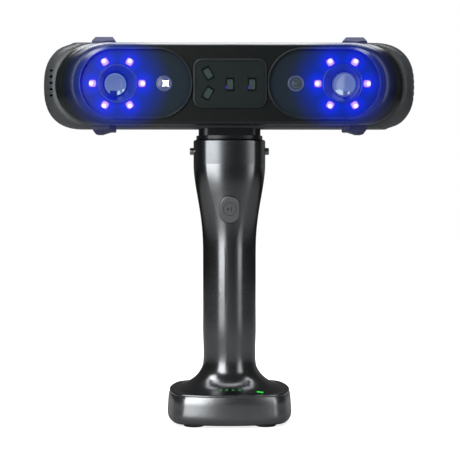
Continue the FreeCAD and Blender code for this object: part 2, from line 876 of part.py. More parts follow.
def window_plate(side):
    x = side * (camera_x - window_shift)
    plate = stadium_slab(window_half_x - slip, window_half_z - slip, window_y, led_board_y, x)
    tools = [rod_y(hood_radius + slip, window_y - 1, led_board_y + 1, side * camera_x, head_z)]
    tools.append(rod_y(aux_radius + slip, window_y - 1, led_board_y + 1, aux_x(side), head_z))
    half = led_size / 2 + slip
    for index in range(led_count):
        tools.append(led_box(side, index, half, window_y - 1, led_board_y + 1))
    return cut(plate, tools)


def led_board(side):
    x = side * (camera_x - window_shift)
    plate = stadium_slab(window_half_x + led_board_overlap, window_half_z + led_board_overlap,
                         led_board_y, led_board_y + board, x)
    y0 = led_board_y - 1
    y1 = led_board_y + board + 1
    tools = [rod_y(hood_radius + slip, y0, y1, side * camera_x, head_z)]
    if side > 0:
        tools.append(rod_y(aux_radius + slip, y0, y1, aux_x(side), head_z))
    return cut(plate, tools)


def fill_light_disc():
    disc = rod_y(aux_radius, window_y - led_stand, led_board_y, aux_x(-1), head_z)
    half = aux_led_size / 2 + slip
    pocket = block(aux_x(-1) - half, aux_x(-1) + half, window_y - 1, led_board_y + 1,
                   head_z - half, head_z + half)
    return disc.cut(pocket)


def fill_light_led():
    half = aux_led_size / 2
    return block(aux_x(-1) - half, aux_x(-1) + half, window_y - aux_led_proud, led_board_y,
                 head_z - half, head_z + half)


def colour_camera_body():
    x = aux_x(1)
    body = rod_y(aux_radius, window_y - led_stand, window_y + aux_body_length, x, head_z)
    seat = rod_y(aux_lens_radius, window_y - 1, window_y + aux_lens_thickness, x, head_z)
    bore = rod_y(aux_pupil_radius, window_y - 1, window_y + aux_body_length / 2, x, head_z)
    return cut(body, [seat, bore])


def colour_camera_glass():
    return rod_y(aux_lens_radius - running_fit, window_y + slip, window_y + aux_lens_thickness,
                 aux_x(1), head_z)


# ------------------------------------------------------------------ centre panel and lasers
def laser_places():
    """Centre x, height and lean of the four laser windows."""
    return [(-laser_pitch, laser_rise, -laser_lean), (-laser_pitch, -laser_rise, laser_lean),
            (0.0, -laser_drop, 0.0), (laser_pitch, -laser_drop, 0.0)]


def laser_slab(place, half_x, half_z, y0, y1):
    x, rise, lean = place
    shape = block(-half_x, half_x, y0, y1, -half_z, half_z)
    shape.rotate(V(0, 0, 0), V(0, 1, 0), lean)
    shape.translate(V(x, 0, head_z + rise))
    return shape


def face_plate_front():
    return face_y - panel_proud + face_plate_sink


def center_panel():
    front = face_plate_front()
    back = front + face_plate_thickness
    pocket = slab_y(panel_x - panel_rim, panel_z - panel_rim, panel_corner - panel_rim,
                    front - 1, back, 0, head_z)
    tools = [pocket]
    for x, rise, _ in laser_places():
        tools.append(rod_y(laser_module_radius + slip, back - 1, inner_face_y + 1, x, head_z + rise))
    return cut(panel_volume(), tools)


def center_face():
    front = face_plate_front()
    rim = panel_rim + slip
    plate = slab_y(panel_x - rim, panel_z - rim, panel_corner - rim, front,
                   front + face_plate_thickness, 0, head_z)
    tools = []
    for place in laser_places():
        tools.append(laser_slab(place, laser_frame_x + slip, laser_frame_z + slip,
                                front - 1, front + face_plate_thickness + 1))
    return cut(plate, tools)


def laser_frames():
    back = face_plate_front() + face_plate_thickness
    frames = []
    for place in laser_places():
        ring = laser_slab(place, laser_frame_x, laser_frame_z, back - laser_frame_thickness, back)
        hole = laser_slab(place, laser_glass_x + slip, laser_glass_z + slip,
                          back - laser_frame_thickness - 1, back + 1)
        frames.append(ring.cut(hole))
    return group(frames)


def laser_glasses():
    back = face_plate_front() + face_plate_thickness
    return group([laser_slab(place, laser_glass_x, laser_glass_z, back - laser_glass_thickness, back)
                  for place in laser_places()])


def laser_modules():
    back = face_plate_front() + face_plate_thickness
    return group([rod_y(laser_module_radius, back, frame_front_y - slip, x, head_z + rise)
                  for x, rise, _ in laser_places()])


def laser_bracket():
    outer = block(-bracket_x, bracket_x, bracket_front_y, frame_front_y,
                  head_z - bracket_z, head_z + bracket_z)
    hollow = block(-bracket_x + bracket_leg, bracket_x - bracket_leg, bracket_front_y + bracket_plate,
                   frame_front_y + 1, head_z - bracket_z - 1, head_z + bracket_z + 1)
    tools = [hollow]
    for x, rise, _ in laser_places():
        tools.append(rod_y(laser_module_radius + slip, bracket_front_y - 1, frame_front_y,
                           x, head_z + rise))
    return cut(outer, tools)


# ------------------------------------------------------------------ optical frame and electronics
def optical_frame():
    plate = stadium_slab(frame_x, seam_height / 2 - frame_inset_z, frame_front_y, frame_back_y)
    posts = []
    for x, z in corners(led_post_x, led_post_z):
        posts.append(rod_y(frame_post_radius, led_board_y + board, frame_front_y, x, head_z + z))
    for x, z in corners(standoff_x, standoff_z):
        posts.append(rod_y(standoff_radius, frame_back_y, main_board_y, x, head_z + z))
    shelf = block(-foot_plate_x, foot_plate_x, frame_front_y, neck_y - slip,
                  neck_top_z, neck_top_z + foot_plate_thickness)
    frame = fuse([plate, shelf] + posts)
    tools = [barrel_body(-1, running_fit), barrel_body(1, running_fit)]
    for x, z in front_boss_places():
        tools.append(rod_y(front_screw_radius, frame_front_y - 1, frame_back_y + 1, x, z))
    for x, z in corners(rear_boss_x, rear_boss_z):
        tools.append(rod_y(rear_screw_radius, frame_back_y - rear_screw_reach, frame_back_y + 1,
                           x, head_z + z))
    return cut(frame, tools)


def screw_y(radius, tip_y, head_y, x, z, facing):
    """Screw along Y with a socket head; its head starts at head_y and faces +Y or -Y."""
    y0, y1 = sorted((tip_y, head_y))
    shaft = rod_y(radius, y0, y1, x, z)
    h0, h1 = sorted((head_y, head_y + facing * screw_head_height))
    head = rod_y(radius * screw_head_radius / rear_screw_radius, h0, h1, x, z)
    socket_depth = screw_head_height / 2
    s0, s1 = sorted((head_y + facing * socket_depth, head_y + facing * (screw_head_height + 1)))
    return shaft.fuse(head).removeSplitter().cut(rod_y(radius * 0.8, s0, s1, x, z))


def front_screws():
    return group([screw_y(front_screw_radius, frame_front_y - front_screw_reach, frame_back_y, x, z, 1)
                  for x, z in front_boss_places()])


def rear_screws():
    head_y = rear_y - screw_head_height
    return group([screw_y(rear_screw_radius, frame_back_y - rear_screw_reach, head_y, x, head_z + z, 1)
                  for x, z in corners(rear_boss_x, rear_boss_z)])


def main_board():
    plate = block(-main_board_x, main_board_x, main_board_y, main_board_back,
                  head_z - main_board_z, head_z + main_board_z)
    chip = block(sink_centre - chip_size / 2, sink_centre + chip_size / 2, main_board_back,
                 main_board_back + chip_height, head_z - chip_size / 2, head_z + chip_size / 2)
    half = switch_size / 2
    switch = block(power_x - half, power_x + half, main_board_back, main_board_back + switch_height,
                   head_z - half, head_z + half)
    return fuse([plate, chip, switch])


def heatsink():
    y0 = main_board_back + chip_height
    plate = block(sink_left, sink_right, y0, y0 + sink_base, head_z - sink_half_z, head_z + sink_half_z)
    fins = [plate]
    pitch = (2 * sink_half_z - fin_thickness) / (fin_count - 1)
    for index in range(fin_count):
        z0 = head_z - sink_half_z + index * pitch
        fins.append(block(sink_left, sink_right, y0, y0 + sink_height, z0, z0 + fin_thickness))
    return fuse(fins)


def camera_ribbons():
    """Flat cables from the sensor boards to the ends of the main board."""
    strips = []
    back = barrel_length + board
    turn = math.radians(toe_in)
    for side in (-1, 1):
        start_x = camera_x + back * math.sin(turn) - sensor_half / 2 * math.cos(turn)
        start_y = window_y + back * math.cos(turn) + sensor_half / 2 * math.sin(turn)
        bow_y = max(start_y, main_board_back) + sensor_half / 2
        end_x = main_board_x - ribbon_width / 2
        path = [V(side * start_x, start_y, 0), V(side * (start_x - 1), bow_y, 0),
                V(side * (end_x + 1), bow_y, 0), V(side * end_x, main_board_back, 0)]
        shift = [V(0, 0, 0), V(0, ribbon_thickness, 0), V(0, ribbon_thickness, 0), V(0, 0, 0)]
        outer = [path[0] + V(side * ribbon_thickness, 0, 0)] + \
                [path[i] + shift[i] + V(side * ribbon_thickness * (1.5 - i), 0, 0) for i in (1, 2)] + \
                [path[3] + V(-side * ribbon_thickness, 0, 0)]
        outline = path + outer[::-1] + [path[0]]
        strip = Part.Face(Part.makePolygon(outline)).extrude(V(0, 0, ribbon_width))
        strip.translate(V(0, 0, head_z - ribbon_width / 2))
        strips.append(strip)
    return group(strips)


def power_button():
    cap = rod_y(power_radius, inner_rear_y - power_travel, rear_y + power_proud, power_x, head_z)
    flange_y = inner_rear_y - power_travel - flange_thickness
    flange = rod_y(power_radius + power_flange, flange_y, flange_y + flange_thickness, power_x, head_z)
    stem_end = main_board_back + switch_height + power_travel + slip
    stem = rod_y(power_stem_radius, stem_end, flange_y, power_x, head_z)
    return fuse([cap, flange, stem])


# ------------------------------------------------------------------ fan
def fan_frame():
    half = fan_size / 2
    body = block(fan_x, fan_x + fan_depth, fan_centre_y - half, fan_centre_y + half,
                 head_z - half, head_z + half)
    body = body.cut(rod_x(fan_bore, fan_x - 1, fan_x + fan_depth + 1, fan_centre_y, head_z))
    hub = rod_x(fan_hub_radius, fan_x, fan_x + fan_plate, fan_centre_y, head_z)
    shaft = rod_x(fan_shaft_radius, fan_x, fan_x + fan_depth - fan_plate, fan_centre_y, head_z)
    spokes = []
    for index in range(3):
        spoke = block(fan_x, fan_x + fan_plate, -fan_plate, fan_plate, fan_hub_radius - 1, fan_bore + 0.5)
        spoke.rotate(V(0, 0, 0), V(1, 0, 0), 120.0 * index)
        spoke.translate(V(0, fan_centre_y, head_z))
        spokes.append(spoke)
    return fuse([body, hub, shaft] + spokes)


def fan_rotor():
    x0 = fan_x + fan_plate + blade_thickness / 2
    x1 = fan_x + fan_depth - blade_thickness / 2
    tip = fan_bore - fan_tip_gap
    hub = rod_x(fan_hub_radius, x0, x1, 0, 0)
    pieces = [hub]
    middle = (x0 + x1) / 2
    keep = rod_x(tip, x0, x1, 0, 0)
    for index in range(fan_blades):
        blade = block(middle - blade_width / 2, middle + blade_width / 2, -blade_thickness / 2,
                      blade_thickness / 2, fan_hub_radius - 1, tip + 1)
        blade.rotate(V(middle, 0, 0), V(0, 0, 1), blade_pitch_angle)
        blade.rotate(V(0, 0, 0), V(1, 0, 0), 360.0 * index / fan_blades)
        pieces.append(blade.common(keep))
    rotor = fuse(pieces)
    bore = rod_x(fan_shaft_radius + running_fit, x0 - 1, fan_x + fan_depth - fan_plate + slip, 0, 0)
    rotor = rotor.cut(bore)
    rotor.translate(V(0, fan_centre_y, head_z))
    return rotor


# ------------------------------------------------------------------ neck, collar and release pins
def pin_bore(side, radius, x0, x1):
    low, high = sorted((side * x0, side * x1))
    return rod_x(radius, low, high, 0, pin_z)


def neck_spigot():
    block_top = neck_flange_z
    lower = bowed_slab(spigot_x, spigot_y, spigot_corner, collar_bow, spigot_z, block_top)
    flange = bowed_slab(collar_x - neck_flange_inset, collar_y - neck_flange_inset,
                        collar_corner - neck_flange_inset / 2, collar_bow, neck_flange_z, neck_z)
    column = neck_column(0, neck_z, neck_top_z)
    solid = fuse([lower, flange, column])
    tools = []
    for side in (-1, 1):
        tools.append(pin_bore(side, pin_radius + running_fit, shoulder_out_x, spigot_x + 1))
        tools.append(pin_bore(side, pin_radius + pin_shoulder + running_fit, spring_x, shoulder_out_x))
    recess = block(-contact_tongue_x - slip, contact_tongue_x + slip, -contact_tongue_y - slip,
                   contact_tongue_y + slip, spigot_z - 1,
                   contact_block_top + contact_tongue_height + contact_pin_proud)
    return cut(solid, tools + [recess])


def release_pin(side):
    shaft = pin_bore(side, pin_radius, shoulder_out_x - pin_shoulder_length, collar_x + pin_proud)
    tip_x = side * (collar_x + pin_proud)
    tip = [e for e in shaft.Edges if max(abs(e.BoundBox.XMin - tip_x), abs(e.BoundBox.XMax - tip_x)) < slip]
    shaft = shaft.makeFillet(pin_tip_round, tip)
    shoulder = pin_bore(side, pin_radius + pin_shoulder, shoulder_out_x - pin_shoulder_length - slip,
                        shoulder_out_x - slip)
    return shaft.fuse(shoulder).removeSplitter()


def release_spring(side):
    length = spring_length - 2 * spring_wire - 2 * slip
    coil_radius = pin_radius + pin_shoulder - 3 * spring_wire
    helix = Part.makeHelix(length / spring_turns, length, coil_radius)
    ring = Part.Wire(Part.makeCircle(spring_wire, V(coil_radius, 0, 0), V(0, 1, 0)))
    coil = Part.Wire(helix.Edges).makePipeShell([ring], True, True)
    coil.rotate(V(0, 0, 0), V(0, 1, 0), 90 * side)
    coil.translate(V(side * (spring_x + spring_wire + slip), 0, pin_z))
    return coil


def collar():
    outer = bowed_slab(collar_x, collar_y, collar_corner, collar_bow, collar_z, collar_top_z)
    top = [e for e in outer.Edges if e.BoundBox.ZMin > collar_top_z - slip]
    outer = outer.makeFillet(collar_edge, top)
    socket = bowed_slab(collar_x - collar_wall, collar_y - collar_wall, collar_corner - collar_wall,
                        collar_bow, collar_z + collar_floor, collar_top_z + 1)
    cable_hole = rod_z(cable_radius + slip, collar_z - 1, collar_z + collar_floor + 1, cable_x, cable_y)
    holes = [socket, cable_hole]
    for side in (-1, 1):
        holes.append(pin_bore(side, pin_radius + running_fit, spigot_x - 1, collar_x + 1))
    return cut(outer, holes)


def contact_pin_places():
    return [((i - (contact_pin_count - 1) / 2) * contact_pin_pitch, 0.0) for i in range(contact_pin_count)]


def contact_block():
    z0 = collar_z + collar_floor
    plate = block(-contact_block_x, contact_block_x, -contact_block_y, contact_block_y,
                  z0, contact_block_top)
    tongue = block(-contact_tongue_x, contact_tongue_x, -contact_tongue_y, contact_tongue_y,
                   contact_block_top, contact_block_top + contact_tongue_height)
    holes = [rod_z(contact_pin_radius, z0 - 1, contact_block_top + contact_tongue_height + 1, x, y)
             for x, y in contact_pin_places()]
    return cut(fuse([plate, tongue]), holes)


def contact_pins():
    top = contact_block_top + contact_tongue_height + contact_pin_proud
    return group([rod_z(contact_pin_radius, collar_z + collar_floor, top, x, y)
                  for x, y in contact_pin_places()])


# ------------------------------------------------------------------ grip
def funnel_ease(z):
    """0 in the round grip, 1 at the collar."""
    share = min(max((z - funnel_z) / funnel_height, 0.0), 1.0) ** funnel_lean
    return share * share * (3 - 2 * share)


def grip_stations():
    """Height, half sizes, corner and bow of the grip's outer outline, from the rim up."""
    stations = [(rim_z, tray_rim_x, tray_rim_y, tray_rim_corner, tray_bow)]
    steps = 9
    for step in range(steps + 1):
        angle = math.radians(90 * (steps - step) / steps)
        out = 1 - math.cos(angle) ** (2 / flare_power)
        up = 1 - math.sin(angle) ** (2 / flare_power)
        z = rim_z + rim_edge + flare_height * up
        half_x = grip_x + (tray_rim_x - grip_x) * out
        half_y = grip_y + (tray_rim_y - grip_y) * out
        corner = grip_corner + (tray_rim_corner - grip_corner) * out ** 2
        bow = grip_bow + (tray_bow - grip_bow) * out
        stations.append((z, half_x, half_y, corner, bow))
    for share in (0.25, 0.5, 0.75):
        z = flare_top_z + (funnel_z - flare_top_z) * share
        stations.append((z, grip_x, grip_y, grip_corner, grip_bow))
    steps = 10
    for step in range(steps + 1):
        z = funnel_z + funnel_height * step / steps
        ease = funnel_ease(z)
        stations.append((z, grip_x + (collar_x - grip_x) * ease, grip_y + (collar_y - grip_y) * ease,
                         grip_corner + (collar_corner - grip_corner) * ease,
                         grip_bow + (collar_bow - grip_bow) * ease))
    return stations


def grip_outer():
    return loft([bowed_wire(hx, hy, corner, bow, z) for z, hx, hy, corner, bow in grip_stations()])


def grip_hollow():
    """The same outline moved in by the wall, measured square to the surface."""
    stations = grip_stations()
    wires = []
    for index, (z, hx, hy, corner, bow) in enumerate(stations[1:], 1):
        before = stations[index - 1] if index > 1 else (z, hx + 1, hy + 1, corner, bow)
        after = stations[min(index + 1, len(stations) - 1)]
        rise = after[0] - before[0]
        run = after[1] - before[1]
        slope = math.hypot(rise, run) or 1.0
        side_share = rise / slope
        up_share = -run / slope
        if index == len(stations) - 1:
            side_share = 1.0
            up_share = 0.0
        inner_x = min(hx - wall * side_share, tray_rim_x - wall)
        inner_y = min(hy - wall * side_share, tray_rim_y - wall)
        inner_corner = min(corner - wall * side_share, inner_x - bow - slip, inner_y - bow - slip)
        wires.append(bowed_wire(inner_x, inner_y, inner_corner, bow, z - wall * up_share))
    top = wires[-1].copy()
    top.translate(V(0, 0, 1))
    return loft(wires + [top])


def button_tilt():
    """Degrees that the grip's front leans at the button."""
    high = grip_y + (collar_y - grip_y) * funnel_ease(button_centre_z + button_z)
    low = grip_y + (collar_y - grip_y) * funnel_ease(button_centre_z - button_z)
    return math.degrees(math.atan2(high - low, 2 * button_z))


def at_button(shape):
    """Move a piece built about the origin, front towards -Y, to the button's place."""
    front = grip_y + (collar_y - grip_y) * funnel_ease(button_centre_z)
    shape = shape.copy()
    shape.rotate(V(0, 0, 0), V(1, 0, 0), button_tilt())
    shape.translate(V(0, -front, button_centre_z))
    return shape


def button_slab(grow, y0, y1):
    return slab_y(button_x + grow, button_z + grow, button_x + grow - slip, y0, y1)


def plunger_end():
    """Depth of the plunger's end behind the grip's surface."""
    return wall + slip + flange_thickness + button_travel + plunger_reach


def button_back():
    """Depth, behind the grip's surface, of the button's flange front and the board's front."""
    flange_y = wall + slip
    return flange_y, plunger_end() + dome_gap + dome_height


def scan_button():
    flange_y, _ = button_back()
    pill = button_slab(0, -button_proud, flange_y)
    front = [e for e in pill.Edges if e.BoundBox.YMax < -button_proud + slip]
    pill = pill.makeFillet(button_round, front)
    flange = button_slab(button_flange, flange_y, flange_y + flange_thickness)
    plunger = rod_y(plunger_radius, flange_y, plunger_end(), 0, 0)
    groove = rod_y(button_mark_radius, -button_proud - 1, -button_proud + button_mark_depth, 0, 0).cut(
        rod_y(button_mark_radius - button_mark_width, -button_proud - 2, 0, 0, 0))
    return at_button(cut(fuse([pill, flange, plunger]), [groove]))


def button_dome():
    _, board_y = button_back()
    top_y = board_y - dome_height
    sphere = (dome_radius ** 2 + dome_height ** 2) / (2 * dome_height)
    outer = Part.makeSphere(sphere, V(0, top_y + sphere, 0))
    inner = Part.makeSphere(sphere, V(0, top_y + sphere + dome_wall, 0))
    keep = rod_y(dome_radius, top_y - 1, board_y, 0, 0)
    return at_button(keep.common(outer).cut(inner))


def button_board():
    _, board_y = button_back()
    return at_button(block(-button_board_x, button_board_x, board_y, board_y + board,
                           -button_board_z, button_board_z))


def light_places():
    """Centres of the status dots."""
    return [((i - (dot_count - 1) / 2) * dot_pitch, light_y) for i in range(dot_count)]


def light_column(grow, x, z0, z1):
    return slab_z(dash_half_x + grow, dash_half_y + grow, dash_half_y - slip, z0, z1, x, light_y)


def charge_light_pipes():
    outer = grip_outer()
    pipes = [rod_z(dot_radius, base_board_top, flare_top_z, x, y).common(outer.fuse(below_rim()))
             for x, y in light_places()]
    return group(pipes)


def wifi_light_pipe():
    return light_column(0, dash_x, base_board_top, flare_top_z).common(grip_outer().fuse(below_rim()))


def below_rim():
    return bowed_slab(tray_rim_x, tray_rim_y, tray_rim_corner, tray_bow, foot_height, rim_z)


def grip_shell():
    return grip_outer().cut(grip_hollow())


def half_space(front):
    reach = head_length
    if front:
        return block(-reach, reach, -reach, -grip_split / 2, -1, head_z)
    return block(-reach, reach, grip_split / 2, reach, -1, head_z)


def grip_posts(front):
    """Posts under the flare that the base screws bite into, and the screw bosses near the collar."""
    outer = grip_outer()
    posts = []
    for x, y in corners(base_screw_x, base_screw_y):
        if (y < 0) == front:
            posts.append(rod_z(boss_radius, rim_z, flare_top_z, x, y).common(outer))
    for side in (-1, 1):
        boss = rod_y(grip_boss_radius, -collar_y, collar_y, side * grip_screw_x, grip_screw_z)
        posts.append(boss.common(outer).common(half_space(front)))
    return posts


def grip_screw_holes():
    holes = []
    for x in (-grip_screw_x, grip_screw_x):
        holes.append(rod_y(grip_screw_radius, -grip_screw_reach, collar_y + 1, x, grip_screw_z))
        holes.append(rod_y(grip_head_radius + slip, grip_screw_head_y, collar_y + 1, x, grip_screw_z))
    return holes


def base_screw_holes(z1):
    return [rod_z(base_screw_radius, foot_height - 1, z1, x, y)
            for x, y in corners(base_screw_x, base_screw_y)]


def grip_front_half():
    shell = grip_shell().common(half_space(True))
    _, board_y = button_back()
    posts = []
    for x, z in corners(button_board_x - button_post_radius, button_board_z - button_post_radius):
        posts.append(at_button(rod_y(button_post_radius, wall / 2, board_y, x, z)))
    shell = fuse([shell] + grip_posts(True) + posts)
    pocket = button_slab(button_flange + button_gap, pocket_wall, plunger_end())
    tools = [at_button(button_slab(button_gap, -2 * wall, 2 * wall)), at_button(pocket)]
    tools += [rod_z(dot_radius + slip / 2, rim_z - 1, flare_top_z, x, y) for x, y in light_places()]
    tools.append(light_column(slip / 2, dash_x, rim_z - 1, flare_top_z))
    return cut(shell, tools + grip_screw_holes() + base_screw_holes(rim_z + base_screw_bite))


def grip_rear_half():
    shell = grip_shell().common(half_space(False))
    shell = fuse([shell] + grip_posts(False))
    return cut(shell, grip_screw_holes() + base_screw_holes(rim_z + base_screw_bite))


def grip_screws():
    return group([screw_y(grip_screw_radius, -grip_screw_reach, grip_screw_head_y, side * grip_screw_x,
                          grip_screw_z, 1) for side in (-1, 1)])


# ------------------------------------------------------------------ cells and cradle
def cell_z(index):
    return cradle_z + cradle_plate + contact_thickness + index * (cell_length + contact_thickness)


def cell(index):
    """Round cell with a rounded can and a raised positive cap, standing in the cradle."""
    z0 = cell_z(index)
    can = rod_z(cell_radius, z0, z0 + cell_length - contact_thickness, 0, cell_y)
    ends = [e for e in can.Edges if e.Closed]
    can = can.makeFillet(cell_round, ends)
    cap = rod_z(cell_radius / 3, z0 + cell_length - 2 * contact_thickness, z0 + cell_length, 0, cell_y)
    return can.fuse(cap).removeSplitter()


def cell_contacts():
    discs = []
    for index in range(cell_count + 1):
        z0 = cell_z(index) - contact_thickness
        discs.append(rod_z(contact_radius, z0, z0 + contact_thickness, 0, cell_y))
    return group(discs)


def cell_cradle():
    tube = rod_z(cradle_radius, cradle_z, cradle_z + cradle_height, 0, cell_y)
    z0 = cradle_z + cradle_plate
    z1 = cradle_z + cradle_height - cradle_plate
    bore = rod_z(cell_radius + slip, z0, z1, 0, cell_y)
    mouth = block(-cradle_mouth, cradle_mouth, cell_y - cradle_radius - 1, cell_y, z0, z1)
    return cut(tube, [bore, mouth])


def handle_cable():
    return rod_z(cable_radius, base_board_top, collar_z + collar_floor, cable_x, cable_y)


# ------------------------------------------------------------------ base
def tray_stations():
    waist_z = rim_z - tray_waist
    waist_x = tray_rim_x + tray_swell
    waist_y = tray_rim_y + tray_swell
    waist_corner = tray_rim_corner + tray_swell / 2
    stations = [(rim_z, tray_rim_x, tray_rim_y, tray_rim_corner)]
    middle = 0.75 * tray_swell
    stations.append((rim_z - tray_waist / 2, tray_rim_x + middle, tray_rim_y + middle,
                     tray_rim_corner + middle / 2))
    stations.append((waist_z, waist_x, waist_y, waist_corner))
    steps = 4
    drop = waist_z - foot_height
    for step in range(1, steps + 1):
        angle = math.radians(90 * step / steps)
        inset = tray_bottom_inset * (1 - math.cos(angle))
        z = waist_z - drop * math.sin(angle)
        stations.append((z, waist_x - inset, waist_y - inset, waist_corner - inset / 2))
    return stations


def tray_hollow():
    wires = []
    for z, hx, hy, corner in tray_stations():
        wires.append(bowed_wire(hx - wall, hy - wall, corner - wall, tray_bow, z))
    wires.insert(0, bowed_wire(tray_rim_x - wall, tray_rim_y - wall, tray_rim_corner - wall,
                               tray_bow, rim_z + 1))
    last = tray_stations()[-1]
    wires.append(bowed_wire(last[1] - wall, last[2] - wall, last[3] - wall, tray_bow,
                            foot_height - 1))
    return loft(wires[::-1])


def tray_outer():
    return loft([bowed_wire(hx, hy, corner, tray_bow, z)
                 for z, hx, hy, corner in tray_stations()[::-1]])


def usb_slot(grow, y0, y1):
    middle = base_board_top + usb_height / 2 + slip
    return slab_y(usb_x + grow, usb_height / 2 + grow, usb_height / 2 + grow - slip, y0, y1, 0, middle)


def usb_mouth_y():
    return tray_rim_y + tray_swell / 2 - usb_back


def base_tray():
    ring = tray_outer().cut(tray_hollow())
    plate_top = foot_height + base_plate_thickness
    pieces = [ring]
    for x, y in corners(base_screw_x, base_screw_y):
        boss = rod_z(boss_radius, plate_top, rim_z, x, y)
        x0, x1 = sorted((x, math.copysign(tray_rim_x - wall / 2, x)))
        web = block(x0, x1, y - wall / 2, y + wall / 2, plate_top, rim_z)
        pieces.append(boss.fuse(web))
    tray = fuse(pieces)
    slot = usb_slot(slip, tray_rim_y - 3 * wall, tray_rim_y + 3 * wall)
    return cut(tray, [slot] + base_screw_holes(rim_z + 1))


def base_plate():
    last = tray_stations()[-1]
    gap = wall + slip
    plate = bowed_slab(last[1] - gap, last[2] - gap, last[3] - gap, tray_bow, foot_height,
                       foot_height + base_plate_thickness)
    posts = [rod_z(base_post_radius, foot_height, base_board_z, x, y)
             for x, y in corners(base_post_x, base_post_y)]
    plate = fuse([plate] + posts)
    heads = [rod_z(screw_head_radius + slip, foot_height - 1, foot_height + base_screw_sink, x, y)
             for x, y in corners(base_screw_x, base_screw_y)]
    return cut(plate, base_screw_holes(rim_z) + heads)


def base_screws():
    screws = []
    for x, y in corners(base_screw_x, base_screw_y):
        head = rod_z(screw_head_radius, foot_height + slip, foot_height + base_screw_sink, x, y)
        shaft = rod_z(base_screw_radius, foot_height + base_screw_sink, rim_z + base_screw_bite, x, y)
        socket = rod_z(screw_head_radius / 2, foot_height, foot_height + base_screw_sink / 2, x, y)
        screws.append(head.fuse(shaft).removeSplitter().cut(socket))
    return group(screws)


def base_feet():
    feet = []
    for x, y in corners(foot_x, foot_y):
        foot = rod_z(foot_radius, 0, foot_height, x, y)
        lower = [e for e in foot.Edges if e.Closed and e.BoundBox.ZMax < slip]
        feet.append(foot.makeFillet(foot_round, lower))
    return group(feet)


def base_board():
    return block(-base_board_x, base_board_x, -base_board_back, base_board_back,
                 base_board_z, base_board_top)


def usb_socket():
    mouth = usb_mouth_y()
    shell = usb_slot(0, mouth - usb_length, mouth)
    cavity = usb_slot(-usb_shell, mouth - usb_length + 1, mouth + 1)
    middle = base_board_top + usb_height / 2 + slip
    tongue = block(-usb_tongue_x, usb_tongue_x, mouth - usb_length, mouth - usb_tongue_back,
                   middle - usb_shell, middle + usb_shell)
    return fuse([shell.cut(cavity), tongue])


def build():
    """Every sub-part by the name of its node."""
    parts = {}
    parts["front_shell"] = front_shell()
    parts["rear_shell"] = rear_shell()
    parts["shell_gasket"] = shell_gasket()
    parts["bumpers"] = bumpers()
    sides = (-1, 1)
    for side, name in zip(sides, ("left", "right")):
        parts[name + "_bezel"] = bezel(side)
        parts[name + "_window_plate"] = window_plate(side)
        parts[name + "_camera_barrel"] = camera_barrel(side)
        parts[name + "_release_pin"] = release_pin(side)
        parts[name + "_release_spring"] = release_spring(side)
    parts["camera_glasses"] = group([camera_glass(side) for side in sides])
    parts["sensor_boards"] = group([sensor_board(side) for side in sides])
    parts["led_boards"] = group([led_board(side) for side in sides])
    parts["camera_leds"] = group([led for side in sides for led in window_leds(side)])
    parts["fill_light_disc"] = fill_light_disc()
    parts["fill_light_led"] = fill_light_led()
    parts["colour_camera_body"] = colour_camera_body()
    parts["colour_camera_glass"] = colour_camera_glass()
    parts["center_panel"] = center_panel()
    parts["center_face"] = center_face()
    parts["laser_frames"] = laser_frames()
    parts["laser_glasses"] = laser_glasses()
    parts["laser_modules"] = laser_modules()
    parts["laser_bracket"] = laser_bracket()
    parts["optical_frame"] = optical_frame()
    parts["front_screws"] = front_screws()
    parts["rear_screws"] = rear_screws()
    parts["main_board"] = main_board()
    parts["heatsink"] = heatsink()
    parts["camera_ribbons"] = camera_ribbons()
    parts["power_button"] = power_button()
    parts["fan_frame"] = fan_frame()
    parts["fan_rotor"] = fan_rotor()
    parts["neck_spigot"] = neck_spigot()
    parts["collar"] = collar()
    parts["contact_block"] = contact_block()
    parts["contact_pins"] = contact_pins()
    parts["grip_front_half"] = grip_front_half()
    parts["grip_rear_half"] = grip_rear_half()
    parts["grip_screws"] = grip_screws()
    parts["scan_button"] = scan_button()
    parts["button_dome"] = button_dome()
    parts["button_board"] = button_board()
    parts["battery_cells"] = group([cell(index) for index in range(cell_count)])
    parts["cell_contacts"] = cell_contacts()
    parts["cell_cradle"] = cell_cradle()
    parts["handle_cable"] = handle_cable()
    parts["base_tray"] = base_tray()
    parts["base_plate"] = base_plate()
    parts["base_screws"] = base_screws()
    parts["base_feet"] = base_feet()
    parts["base_board"] = base_board()
    parts["usb_socket"] = usb_socket()
    parts["charge_light_pipes"] = charge_light_pipes()
    parts["wifi_light_pipe"] = wifi_light_pipe()
    return parts


os.makedirs("parts", exist_ok=True)
for node, shape in build().items():
    shape.exportStep("parts/" + node + ".step")
    box = shape.BoundBox
    print("%-22s solids %d valid %s  volume %9.1f  x %7.2f %7.2f  y %7.2f %7.2f  z %7.2f %7.2f" % (
        node, len(shape.Solids), shape.isValid(), shape.Volume,
        box.XMin, box.XMax, box.YMin, box.YMax, box.ZMin, box.ZMax))
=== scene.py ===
import logging
import math
from dataclasses import dataclass, field
from enum import Enum
from typing import Any, Iterable, Optional, Sequence

import bmesh
import bpy
from mathutils import Matrix, Vector
from mathutils.bvhtree import BVHTree

